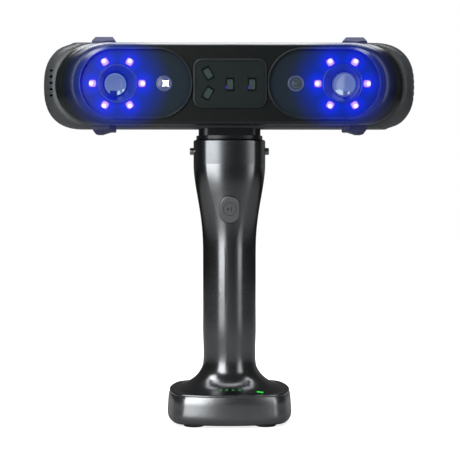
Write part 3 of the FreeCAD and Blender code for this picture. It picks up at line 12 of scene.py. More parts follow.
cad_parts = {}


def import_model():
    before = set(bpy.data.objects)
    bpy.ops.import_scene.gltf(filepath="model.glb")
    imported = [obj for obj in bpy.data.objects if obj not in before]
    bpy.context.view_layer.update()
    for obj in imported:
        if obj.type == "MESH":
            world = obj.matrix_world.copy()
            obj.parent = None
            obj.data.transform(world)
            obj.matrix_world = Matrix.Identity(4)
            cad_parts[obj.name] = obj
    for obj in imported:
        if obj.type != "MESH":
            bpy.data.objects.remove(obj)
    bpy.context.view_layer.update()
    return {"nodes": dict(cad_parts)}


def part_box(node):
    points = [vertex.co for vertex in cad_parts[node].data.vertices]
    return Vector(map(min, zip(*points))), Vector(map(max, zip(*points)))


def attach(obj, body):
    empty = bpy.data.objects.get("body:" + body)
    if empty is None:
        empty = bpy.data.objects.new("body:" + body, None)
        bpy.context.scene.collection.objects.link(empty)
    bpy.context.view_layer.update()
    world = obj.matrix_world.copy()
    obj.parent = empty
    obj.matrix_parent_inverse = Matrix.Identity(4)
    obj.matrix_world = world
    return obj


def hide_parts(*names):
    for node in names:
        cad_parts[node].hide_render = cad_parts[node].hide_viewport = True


LOG = logging.getLogger("scanner")
MM = 0.001
BODY = "scanner"
FACING = Matrix.Rotation(math.radians(90), 4, "X")
MERGE = 0.001  # points nearer than this are one, in mm
# The two colours below paint the lamps' blue light onto surfaces, as emission and a bluer tone;
# the lamps cast none of it.
LAMP_BLUE = "#0d0dff"  # the lamps' light, as surfaces give it back
PAINTED_LIT_TONE = "#002735"  # what a surface's own tone turns to where that light is strongest
WHITE = "#ffffff"


# ---------------------------------------------------------------- small tools
def hex_linear(code: str) -> tuple[float, float, float, float]:
    """Turn an sRGB hex colour into a linear one.

    Args:
        code: the colour as "#rrggbb".

    Returns:
        Linear red, green and blue, with an alpha of 1.
    """
    channels = []
    for start in (1, 3, 5):
        value = int(code[start:start + 2], 16) / 255.0
        channels.append(value / 12.92 if value <= 0.04045 else ((value + 0.055) / 1.055) ** 2.4)
    return channels[0], channels[1], channels[2], 1.0


def add_node(tree: bpy.types.NodeTree, kind: str, settings: Optional[dict[str, Any]] = None,
             values: Optional[dict[Any, Any]] = None,
             links: Optional[dict[Any, bpy.types.NodeSocket]] = None) -> bpy.types.Node:
    """Add a node with its settings, its unlinked inputs and its links.

    Args:
        tree: the node tree that gets the node.
        kind: the node's type name.
        settings: attributes of the node itself.
        values: default values of its inputs, by name or index.
        links: sockets that feed its inputs, by name or index.

    Returns:
        The new node.
    """
    node = tree.nodes.new(kind)
    for key, value in (settings or {}).items():
        setattr(node, key, value)
    for key, value in (values or {}).items():
        node.inputs[key].default_value = value
    for key, socket in (links or {}).items():
        tree.links.new(socket, node.inputs[key])
    return node


def new_tree(name: str) -> tuple[bpy.types.Material, bpy.types.NodeTree]:
    """Make an empty node material.

    Args:
        name: the material's name.

    Returns:
        The material and its node tree, with no nodes.
    """
    material = bpy.data.materials.new(name)
    material.use_nodes = True
    material.node_tree.nodes.clear()
    return material, material.node_tree


def dress(node: bpy.types.Object, material: bpy.types.Material) -> None:
    """Give a CAD node its finish through its material slots.

    Args:
        node: the node's object.
        material: the finish that it gets.
    """
    if not node.material_slots:
        node.data.materials.append(material)
    for slot in node.material_slots:
        slot.material = material


def finish_piece(bm: bmesh.types.BMesh, name: str, body: str,
                 material: bpy.types.Material, smooth: bool = True) -> bpy.types.Object:
    """Turn a bmesh into a piece that rides on a body.

    Args:
        bm: the shape, in metres, in place.
        name: the piece's name.
        body: the body that it rides on.
        material: its finish.
        smooth: whether its faces are shaded smooth.

    Returns:
        The new object.
    """
    bmesh.ops.remove_doubles(bm, verts=bm.verts, dist=2 * MERGE * MM)
    bmesh.ops.recalc_face_normals(bm, faces=bm.faces)
    mesh = bpy.data.meshes.new(name)
    bm.to_mesh(mesh)
    bm.free()
    for face in mesh.polygons:
        face.use_smooth = smooth
    mesh.materials.append(material)
    piece = bpy.data.objects.new(name, mesh)
    bpy.context.scene.collection.objects.link(piece)
    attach(piece, body)
    LOG.info("piece %s: %d faces, rides on %s", name, len(mesh.polygons), body)
    return piece


def front(x: float, y: float, z: float, turn: float = 0.0) -> Matrix:
    """Place a shape that was drawn flat, with its Z axis towards the viewer.

    Args:
        x: where its middle goes, in mm.
        y: where its back goes, in mm.
        z: its height, in mm.
        turn: its turn in its own plane, in degrees.

    Returns:
        The matrix from the shape's millimetres to its place in metres.
    """
    return (Matrix.Translation(Vector((x, y, z)) * MM) @ FACING
            @ Matrix.Rotation(math.radians(turn), 4, "Z") @ Matrix.Scale(MM, 4))


def spun(profile: Sequence[tuple[float, float]], closed: bool = True,
         steps: int = 96) -> bmesh.types.BMesh:
    """Spin an outline a full turn round its Z axis.

    Args:
        profile: (radius, height) points of the outline, in mm.
        closed: whether the last point joins the first.
        steps: how many steps the turn has.

    Returns:
        The new shape, in mm.
    """
    bm = bmesh.new()
    verts = [bm.verts.new((radius, 0.0, height)) for radius, height in profile]
    pairs = list(zip(verts, verts[1:])) + ([(verts[-1], verts[0])] if closed else [])
    edges = [bm.edges.new(pair) for pair in pairs]
    bmesh.ops.spin(bm, geom=verts + edges, cent=(0, 0, 0), axis=(0, 0, 1), angle=2 * math.pi,
                   steps=steps, use_merge=True)
    bmesh.ops.remove_doubles(bm, verts=bm.verts, dist=MERGE)
    bmesh.ops.recalc_face_normals(bm, faces=bm.faces)
    return bm


def rounded_block(size: Sequence[float], corner: float, edge: float = 0.0,
                  segments: int = 4) -> bmesh.types.BMesh:
    """Make a block with round corners and softened rims, standing on its XY plane.

    Args:
        size: its width, depth and height, in mm.
        corner: radius of its four upright corners, in mm.
        edge: width of the bevel round its top, in mm, or 0 for none.
        segments: how many steps each corner has.

    Returns:
        The new shape, in mm.
    """
    bm = bmesh.new()
    bmesh.ops.create_cube(bm, size=1.0)
    bmesh.ops.transform(bm, verts=bm.verts, matrix=Matrix.Translation((0, 0, size[2] / 2))
                        @ Matrix.Diagonal((size[0], size[1], size[2], 1.0)))
    upright = [e for e in bm.edges if abs(e.verts[0].co.z - e.verts[1].co.z) > size[2] / 2]
    bmesh.ops.bevel(bm, geom=upright, offset=corner, segments=segments, profile=0.5,
                    affect="EDGES", material=-1)
    if edge:
        rim = [e for e in bm.edges if min(v.co.z for v in e.verts) > size[2] * 0.99]
        bmesh.ops.bevel(bm, geom=rim, offset=edge, segments=2, profile=0.5,
                        affect="EDGES", material=-1)
    return bm


def join(target: bmesh.types.BMesh, part: bmesh.types.BMesh, places: Iterable[Matrix]) -> None:
    """Add copies of one shape to another, and free it.

    Args:
        target: the shape that grows.
        part: the shape that is copied.
        places: one matrix for each copy.
    """
    shape = bpy.data.meshes.new("part_shape")
    part.to_mesh(shape)
    part.free()
    for place in places:
        copy = shape.copy()
        copy.transform(place)
        target.from_mesh(copy)
        bpy.data.meshes.remove(copy)
    bpy.data.meshes.remove(shape)


def settle(bm: bmesh.types.BMesh, node: bpy.types.Object, base_y: float) -> None:
    """Lay a flat shape on the side of a node that faces the viewer.

    Args:
        bm: the shape, in place, in metres.
        node: the node that it lies on.
        base_y: the plane of the flat shape that comes to lie on the node, in metres.
    """
    mesh = node.data
    tree = BVHTree.FromPolygons([vert.co for vert in mesh.vertices],
                                [face.vertices[:] for face in mesh.polygons])
    for vert in bm.verts:
        hit = tree.ray_cast(Vector((vert.co.x, base_y * 2, vert.co.z)), Vector((0, 1, 0)))[0]
        if hit is not None:
            vert.co.y += hit.y - base_y


# ---------------------------------------------------------------- the lamps' light round the cameras, painted into the surfaces
@dataclass(frozen=True)
class LampRing:
    """Where the six lamps round each camera are, and how far their light spreads.

    Sizes are in millimetres. This light is painted into the surfaces, not cast by the lamps. The
    wide painted glow fills the window from `spread_full` out to `spread_end` round the camera, and
    each lamp's painted halo goes from `halo_full` to `halo_end` round the lamp. The powers make
    them fall off faster. The painted light fades between the planes `front_y` and `rear_y` of the
    head.
    """

    camera_x: float
    camera_z: float
    window_y: float
    circle: float = 14.25
    count: int = 6
    chip_half: float = 1.75
    spread_full: float = 13.0
    spread_end: float = 34.0
    halo_full: float = 2.5
    halo_end: float = 10.5
    spread_power: float = 1.2
    halo_power: float = 1.6
    front_y: float = -14.0
    rear_y: float = 8.0

    @classmethod
    def read(cls) -> "LampRing":
        """Read the rings' place from the frame.

        Returns:
            The rings, with the default spread of their light.
        """
        low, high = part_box("camera_leds")
        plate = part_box("right_window_plate")[0]
        return cls(camera_x=high.x / MM - cls.circle - cls.chip_half,
                   camera_z=(low.z + high.z) / 2 / MM, window_y=plate.y / MM)

    def places(self, y: float) -> list[Matrix]:
        """Give the place of each lamp of both rings.

        Args:
            y: the plane that they stand on, in mm.

        Returns:
            A matrix for each lamp, turned with its ring.
        """
        found = []
        for side in (-1, 1):
            for index in range(self.count):
                turn = 2 * math.pi * index / self.count
                found.append(front(side * (self.camera_x + self.circle * math.cos(turn)), y,
                                   self.camera_z + self.circle * math.sin(turn),
                                   side * math.degrees(turn)))
        return found


def lamp_field(tree: bpy.types.NodeTree, ring: LampRing) -> dict[str, bpy.types.NodeSocket]:
    """Measure each point against the lamp rings, in millimetres.

    Args:
        tree: the node tree that gets the nodes.
        ring: where the lamps are.

    Returns:
        Sockets by name: "radius" from the camera's axis, "chip" from the nearest lamp, "offset"
        from that lamp and "outward", the way from the camera to it, as vectors, and "depth".
    """
    step = 2 * math.pi / ring.count
    coords = add_node(tree, "ShaderNodeTexCoord")
    positive = add_node(tree, "ShaderNodeVectorMath", {"operation": "ABSOLUTE"},
                        links={0: coords.outputs["Object"]})
    moved = add_node(tree, "ShaderNodeVectorMath", {"operation": "SUBTRACT"},
                     {1: (ring.camera_x * MM, 0.0, ring.camera_z * MM)},
                     {0: positive.outputs[0]})
    flat = add_node(tree, "ShaderNodeVectorMath", {"operation": "MULTIPLY"},
                    {1: (1 / MM, 0.0, 1 / MM)}, {0: moved.outputs[0]})
    radius = add_node(tree, "ShaderNodeVectorMath", {"operation": "LENGTH"},
                      links={0: flat.outputs[0]})
    split = add_node(tree, "ShaderNodeSeparateXYZ", links={0: flat.outputs[0]})
    angle = add_node(tree, "ShaderNodeMath", {"operation": "ARCTAN2"},
                     links={0: split.outputs["Z"], 1: split.outputs["X"]})
    ahead = add_node(tree, "ShaderNodeMath", {"operation": "ADD"}, {1: step / 2},
                     {0: angle.outputs[0]})
    turn = add_node(tree, "ShaderNodeMath", {"operation": "SNAP"}, {1: step},
                    {0: ahead.outputs[0]})
    cosine = add_node(tree, "ShaderNodeMath", {"operation": "COSINE"}, links={0: turn.outputs[0]})
    sine = add_node(tree, "ShaderNodeMath", {"operation": "SINE"}, links={0: turn.outputs[0]})
    unit = add_node(tree, "ShaderNodeCombineXYZ",
                    links={"X": cosine.outputs[0], "Z": sine.outputs[0]})
    centre = add_node(tree, "ShaderNodeVectorMath", {"operation": "SCALE"},
                      {"Scale": ring.circle}, {0: unit.outputs[0]})
    offset = add_node(tree, "ShaderNodeVectorMath", {"operation": "SUBTRACT"},
                      links={0: flat.outputs[0], 1: centre.outputs[0]})
    chip = add_node(tree, "ShaderNodeVectorMath", {"operation": "LENGTH"},
                    links={0: offset.outputs[0]})
    depth = add_node(tree, "ShaderNodeSeparateXYZ", links={0: coords.outputs["Object"]})
    return {"radius": radius.outputs["Value"], "chip": chip.outputs["Value"],
            "offset": offset.outputs[0], "outward": unit.outputs[0], "depth": depth.outputs["Y"]}


def painted_lamp_light(tree: bpy.types.NodeTree,
               ring: LampRing) -> tuple[bpy.types.NodeSocket, bpy.types.NodeSocket]:
    """Work out how much painted lamp light a surface of the head shows, by its distance from the
    lamps.

    Args:
        tree: the node tree that gets the nodes.
        ring: where the lamps are.

    Returns:
        The share of the wide painted glow, 0 to 1, and the strength of the painted emission.
    """
    spots = lamp_field(tree, ring)
    wide = add_node(tree, "ShaderNodeMapRange", {"interpolation_type": "SMOOTHSTEP"},
                    {"From Min": ring.spread_end, "From Max": ring.spread_full},
                    {"Value": spots["radius"]})
    wide = add_node(tree, "ShaderNodeMath", {"operation": "POWER"}, {1: ring.spread_power},
                    {0: wide.outputs[0]})
    near = add_node(tree, "ShaderNodeMapRange", {"interpolation_type": "SMOOTHSTEP"},
                    {"From Min": ring.halo_end, "From Max": ring.halo_full},
                    {"Value": spots["chip"]})
    near = add_node(tree, "ShaderNodeMath", {"operation": "POWER"}, {1: ring.halo_power},
                    {0: near.outputs[0]})
    forward = add_node(tree, "ShaderNodeMapRange", {"interpolation_type": "SMOOTHSTEP"},
                       {"From Min": ring.rear_y * MM, "From Max": ring.front_y * MM},
                       {"Value": spots["depth"]})
    share = add_node(tree, "ShaderNodeMath", {"operation": "MULTIPLY"},
                     links={0: wide.outputs[0], 1: forward.outputs[0]})
    both = add_node(tree, "ShaderNodeMath", {"operation": "ADD"},
                    links={0: wide.outputs[0], 1: near.outputs[0]})
    strength = add_node(tree, "ShaderNodeMath", {"operation": "MULTIPLY"},
                        links={0: both.outputs[0], 1: forward.outputs[0]})
    return share.outputs[0], strength.outputs[0]


# ---------------------------------------------------------------- finishes
class Glow(Enum):
    """How strongly a finish shows the lamps' blue light, painted into it as emission."""

    NONE = 0.0
    FAINT = 0.12
    SHELL = 0.26
    BARREL = 0.24
    PLATE = 0.36


@dataclass(frozen=True)
class Finish:
    """A moulded, painted or metal surface with a fine texture.

    Sizes are in millimetres: `grain` is the spacing of the texture's bumps and `grain_height`
    their height; `mottle` is the share by which the tone wanders over `mottle_size`; `edge` is
    the radius that softens its crisp edges. `rim` is a painted highlight, a paler tone along the
    long edge between the face and the top; `rim_from` and `rim_full` say how far that edge has
    turned up where the tone starts and is full, and `level_full` and `level_from` where it ends
    on the top. `glow` is how much painted blue lamp light the surface emits.
    """

    name: str
    colour: str
    roughness: float
    metallic: float = 0.0
    coat: float = 0.0
    grain: float = 0.0
    grain_height: float = 0.0
    mottle: float = 0.0
    mottle_size: float = 30.0
    edge: float = 0.0
    rim: str = ""
    rim_from: float = 0.12
    rim_full: float = 0.5
    level_full: float = 0.9
    level_from: float = 0.98
    glow: Glow = Glow.NONE

    def material(self, ring: LampRing) -> bpy.types.Material:
        """Build the node material of this finish.

        Args:
            ring: where the lamps that light it are.

        Returns:
            The new material.
        """
        material, tree = new_tree(self.name)
        out = add_node(tree, "ShaderNodeOutputMaterial")
        shader = add_node(tree, "ShaderNodeBsdfPrincipled", values={
            "Base Color": hex_linear(self.colour), "Roughness": self.roughness,
            "Metallic": self.metallic, "Coat Weight": self.coat,
            "Coat Roughness": 0.08})
        tree.links.new(shader.outputs[0], out.inputs["Surface"])
        coords = add_node(tree, "ShaderNodeTexCoord")
        colour = None
        if self.mottle:
            cloud = add_node(tree, "ShaderNodeTexNoise", values={
                "Scale": 1 / (self.mottle_size * MM), "Detail": 3.0, "Roughness": 0.6},
                links={"Vector": coords.outputs["Object"]})
            tone = add_node(tree, "ShaderNodeMapRange", values={
                "From Min": 0.3, "From Max": 0.7, "To Min": 1 - self.mottle,
                "To Max": 1 + self.mottle}, links={"Value": cloud.outputs["Fac"]})
            tint = add_node(tree, "ShaderNodeVectorMath", {"operation": "SCALE"},
                            {0: hex_linear(self.colour)[:3]}, {"Scale": tone.outputs[0]})
            colour = tint.outputs[0]
            polish = add_node(tree, "ShaderNodeMapRange", values={
                "From Min": 0.3, "From Max": 0.7, "To Min": self.roughness * (1 + self.mottle),
                "To Max": self.roughness * (1 - self.mottle)},
                links={"Value": cloud.outputs["Fac"]})
            tree.links.new(polish.outputs[0], shader.inputs["Roughness"])
        # Painted highlight: surfaces that turn up between the face and the top get the paler rim
        # tone.
        if self.rim:
            facing = add_node(tree, "ShaderNodeSeparateXYZ", links={0: coords.outputs["Normal"]})
            aside = add_node(tree, "ShaderNodeMath", {"operation": "ABSOLUTE"},
                             links={0: facing.outputs["X"]})
            upward = add_node(tree, "ShaderNodeMath", {"operation": "SUBTRACT"},
                              links={0: facing.outputs["Z"], 1: aside.outputs[0]})
            turned = add_node(tree, "ShaderNodeMapRange", {"interpolation_type": "SMOOTHSTEP"},
                              {"From Min": self.rim_from, "From Max": self.rim_full},
                              {"Value": upward.outputs[0]})
            level = add_node(tree, "ShaderNodeMapRange", {"interpolation_type": "SMOOTHSTEP"},
                             {"From Min": self.level_from, "From Max": self.level_full},
                             {"Value": facing.outputs["Z"]})
            turned = add_node(tree, "ShaderNodeMath", {"operation": "MULTIPLY"},
                              links={0: turned.outputs[0], 1: level.outputs[0]})
            blend = add_node(tree, "ShaderNodeMix", {"data_type": "RGBA"},
                             {"A": hex_linear(self.colour), "B": hex_linear(self.rim)},
                             {"Factor": turned.outputs[0]})
            if colour is not None:
                tree.links.new(colour, blend.inputs["A"])
            colour = blend.outputs["Result"]
        normal = None
        if self.edge:
            normal = add_node(tree, "ShaderNodeBevel", {"samples": 4},
                              {"Radius": self.edge * MM}).outputs[0]
        if self.grain:
            texture = add_node(tree, "ShaderNodeTexNoise", values={
                "Scale": 1 / (self.grain * MM), "Detail": 2.0, "Roughness": 0.5},
                links={"Vector": coords.outputs["Object"]})
            bump = add_node(tree, "ShaderNodeBump", values={
                "Strength": 1.0, "Distance": self.grain_height * MM},
                links={"Height": texture.outputs["Fac"]})
            if normal is not None:
                tree.links.new(normal, bump.inputs["Normal"])
            normal = bump.outputs[0]
        if normal is not None:
            tree.links.new(normal, shader.inputs["Normal"])
        # Painted lamp light: the surface emits the lamps' blue by its distance from them, and its
        # tone turns towards the painted lit tone; the lamps cast none of it.
        if self.glow is not Glow.NONE:
            share, strength = painted_lamp_light(tree, ring)
            lit = add_node(tree, "ShaderNodeMix", {"data_type": "RGBA"},
                           {"A": hex_linear(self.colour), "B": hex_linear(PAINTED_LIT_TONE)},
                           {"Factor": share})
            if colour is not None:
                tree.links.new(colour, lit.inputs["A"])
            colour = lit.outputs["Result"]
            level = add_node(tree, "ShaderNodeMath", {"operation": "MULTIPLY"},
                             {1: self.glow.value}, {0: strength})
            tree.links.new(level.outputs[0], shader.inputs["Emission Strength"])
            shader.inputs["Emission Color"].default_value = hex_linear(LAMP_BLUE)
        if colour is not None:
            tree.links.new(colour, shader.inputs["Base Color"])
        return material


@dataclass(frozen=True)
class LitFinish:
    """A part that shines by itself with one colour: a lamp, or a painted reflection that glows
    though it is no lamp.
    """

    name: str
    colour: str
    strength: float

    def material(self) -> bpy.types.Material:
        """Build the node material of this finish.

        Returns:
            The new material.
        """
        material, tree = new_tree(self.name)
        out = add_node(tree, "ShaderNodeOutputMaterial")
        shader = add_node(tree, "ShaderNodeBsdfPrincipled", values={
            "Base Color": hex_linear(self.colour), "Roughness": 0.3,
            "Emission Color": hex_linear(self.colour), "Emission Strength": self.strength})
        tree.links.new(shader.outputs[0], out.inputs["Surface"])
        return material


@dataclass(frozen=True)
class ChipFinish:
    """A lit lamp: a white-hot die, seen outboard of the middle of its violet dome."""

    name: str
    base: str = "#201828"
    strength: float = 1.05
    body: str = "#c9a4f4"
    edge: str = "#8a2be6"
    core_out: float = 0.65
    core_shift: float = 0.2
    core_radius: float = 1.6
    core_soft: float = 0.55
    edge_near: float = 1.5
    edge_far: float = 2.5

    def material(self, ring: LampRing) -> bpy.types.Material:
        """Build the node material of this finish.

        Args:
            ring: where the lamps are.

        Returns:
            The new material.
        """
        material, tree = new_tree(self.name)
        out = add_node(tree, "ShaderNodeOutputMaterial")
        spots = lamp_field(tree, ring)
        middle = add_node(tree, "ShaderNodeVectorMath", {"operation": "MULTIPLY_ADD"},
                          {1: (self.core_out,) * 3, 2: (self.core_shift, 0.0, 0.0)},
                          {0: spots["outward"]})
        core = add_node(tree, "ShaderNodeVectorMath", {"operation": "DISTANCE"},
                        links={0: spots["offset"], 1: middle.outputs[0]})
        hot = add_node(tree, "ShaderNodeMapRange", {"interpolation_type": "SMOOTHSTEP"},
                       {"From Min": self.core_radius,
                        "From Max": self.core_radius * self.core_soft},
                       {"Value": core.outputs["Value"]})
        rim = add_node(tree, "ShaderNodeMapRange", {"interpolation_type": "SMOOTHSTEP"},
                       {"From Min": self.edge_near, "From Max": self.edge_far},
                       {"Value": spots["chip"]})
        violet = add_node(tree, "ShaderNodeMix", {"data_type": "RGBA"},
                          {"A": hex_linear(self.body), "B": hex_linear(self.edge)},
                          {"Factor": rim.outputs[0]})
        colour = add_node(tree, "ShaderNodeMix", {"data_type": "RGBA"},
                          {"B": hex_linear(WHITE)},
                          {"A": violet.outputs["Result"], "Factor": hot.outputs[0]})
        shader = add_node(tree, "ShaderNodeBsdfPrincipled", values={
            "Base Color": hex_linear(self.base), "Roughness": 0.3,
            "Emission Strength": self.strength},
            links={"Emission Color": colour.outputs["Result"]})
        tree.links.new(shader.outputs[0], out.inputs["Surface"])
        return material


@dataclass(frozen=True)
class Glint:
    """A soft painted reflection inside a camera's glass, in mm from the glass's middle."""

    side: int
    x: float
    z: float
    half_x: float
    half_z: float


@dataclass(frozen=True)
class LensFinish:
    """Coated camera glass, its look painted and emitted: pale periwinkle, paler towards the
    bottom, with a painted bright rim and painted reflections in it.

    Sizes are in millimetres. `sunk` is how far outboard of the hood's middle the glass sits,
    because the camera is toed in.
    """

    name: str
    base: str = "#101624"
    strength: float = 0.9
    high: str = "#6272b6"
    low: str = "#6a80bc"
    rim: str = "#7aa6e4"
    light: str = "#c0dcfa"
    sunk: float = 1.6
    rim_inner: float = 5.5
    rim_outer: float = 6.5
    half_z: float = 6.9
    cloud_size: float = 2.5
    cloud_share: float = 0.25
    cloud_shift: float = -0.1
    glint_full: float = 0.7
    glint_end: float = 1.25
    glints: tuple[Glint, ...] = (
        Glint(-1, 2.0, -5.2, 0.9, 1.6), Glint(-1, 4.9, -3.7, 1.1, 1.1),
        Glint(1, -3.0, -4.9, 2.7, 2.0), Glint(1, 2.9, -5.1, 0.9, 1.0),
    )

    def material(self, ring: LampRing) -> bpy.types.Material:
        """Build the node material of this finish.

        Args:
            ring: where the cameras are.

        Returns:
            The new material.
        """
        material, tree = new_tree(self.name)
        out = add_node(tree, "ShaderNodeOutputMaterial")
        coords = add_node(tree, "ShaderNodeTexCoord")
        split = add_node(tree, "ShaderNodeSeparateXYZ", links={0: coords.outputs["Object"]})
        # The glass's colour is painted and emitted: painted shading, paler towards the bottom.
        drop = add_node(tree, "ShaderNodeMapRange", {"interpolation_type": "SMOOTHSTEP"},
                        {"From Min": (ring.camera_z + self.half_z) * MM,
                         "From Max": (ring.camera_z - self.half_z) * MM},
                        {"Value": split.outputs["Z"]})
        cloud = add_node(tree, "ShaderNodeTexNoise", values={
            "Scale": 1 / (self.cloud_size * MM), "Detail": 2.0},
            links={"Vector": coords.outputs["Object"]})
        blend = add_node(tree, "ShaderNodeMath", {"operation": "MULTIPLY_ADD"},
                         {1: self.cloud_share, 2: self.cloud_shift}, {0: cloud.outputs["Fac"]})
        share = add_node(tree, "ShaderNodeMath", {"operation": "ADD", "use_clamp": True},
                         links={0: drop.outputs[0], 1: blend.outputs[0]})
        colour = add_node(tree, "ShaderNodeMix", {"data_type": "RGBA"},
                          {"A": hex_linear(self.high), "B": hex_linear(self.low)},
                          {"Factor": share.outputs[0]})
        even = add_node(tree, "ShaderNodeVectorMath", {"operation": "ABSOLUTE"},
                        links={0: coords.outputs["Object"]})
        flat = add_node(tree, "ShaderNodeVectorMath", {"operation": "MULTIPLY_ADD"},
                        {1: (1 / MM, 0.0, 1 / MM),
                         2: (-ring.camera_x - self.sunk, 0.0, -ring.camera_z)},
                        {0: even.outputs[0]})
        out_from = add_node(tree, "ShaderNodeVectorMath", {"operation": "LENGTH"},
                            links={0: flat.outputs[0]})
        # Painted highlight: a paler tone round the edge of the glass.
        rim = add_node(tree, "ShaderNodeMapRange", {"interpolation_type": "SMOOTHSTEP"},
                       {"From Min": self.rim_inner, "From Max": self.rim_outer},
                       {"Value": out_from.outputs["Value"]})
        colour = add_node(tree, "ShaderNodeMix", {"data_type": "RGBA"},
                          {"B": hex_linear(self.rim)},
                          {"A": colour.outputs["Result"], "Factor": rim.outputs[0]})
        # Painted reflections: a soft pale patch at each glint.
        for glint in self.glints:
            middle = (glint.side * (ring.camera_x + self.sunk) + glint.x, 0.0,
                      ring.camera_z + glint.z)
            size = (glint.half_x, 1.0, glint.half_z)
            away = add_node(tree, "ShaderNodeVectorMath", {"operation": "MULTIPLY_ADD"},
                            {1: tuple(flag / MM / half for flag, half in zip((1, 0, 1), size)),
                             2: tuple(-value / half for value, half in zip(middle, size))},
                            {0: coords.outputs["Object"]})
            reach = add_node(tree, "ShaderNodeVectorMath", {"operation": "LENGTH"},
                             links={0: away.outputs[0]})
            bright = add_node(tree, "ShaderNodeMapRange", {"interpolation_type": "SMOOTHSTEP"},
                              {"From Min": self.glint_end, "From Max": self.glint_full},
                              {"Value": reach.outputs["Value"]})
            colour = add_node(tree, "ShaderNodeMix", {"data_type": "RGBA"},
                              {"B": hex_linear(self.light)},
                              {"A": colour.outputs["Result"], "Factor": bright.outputs[0]})
        # The glass glows with these painted colours, though it is no lamp.
        shader = add_node(tree, "ShaderNodeBsdfPrincipled", values={
            "Base Color": hex_linear(self.base), "Roughness": 0.16, "IOR": 1.35,
            "Emission Strength": self.strength},
            links={"Emission Color": colour.outputs["Result"]})
        tree.links.new(shader.outputs[0], out.inputs["Surface"])
        return material


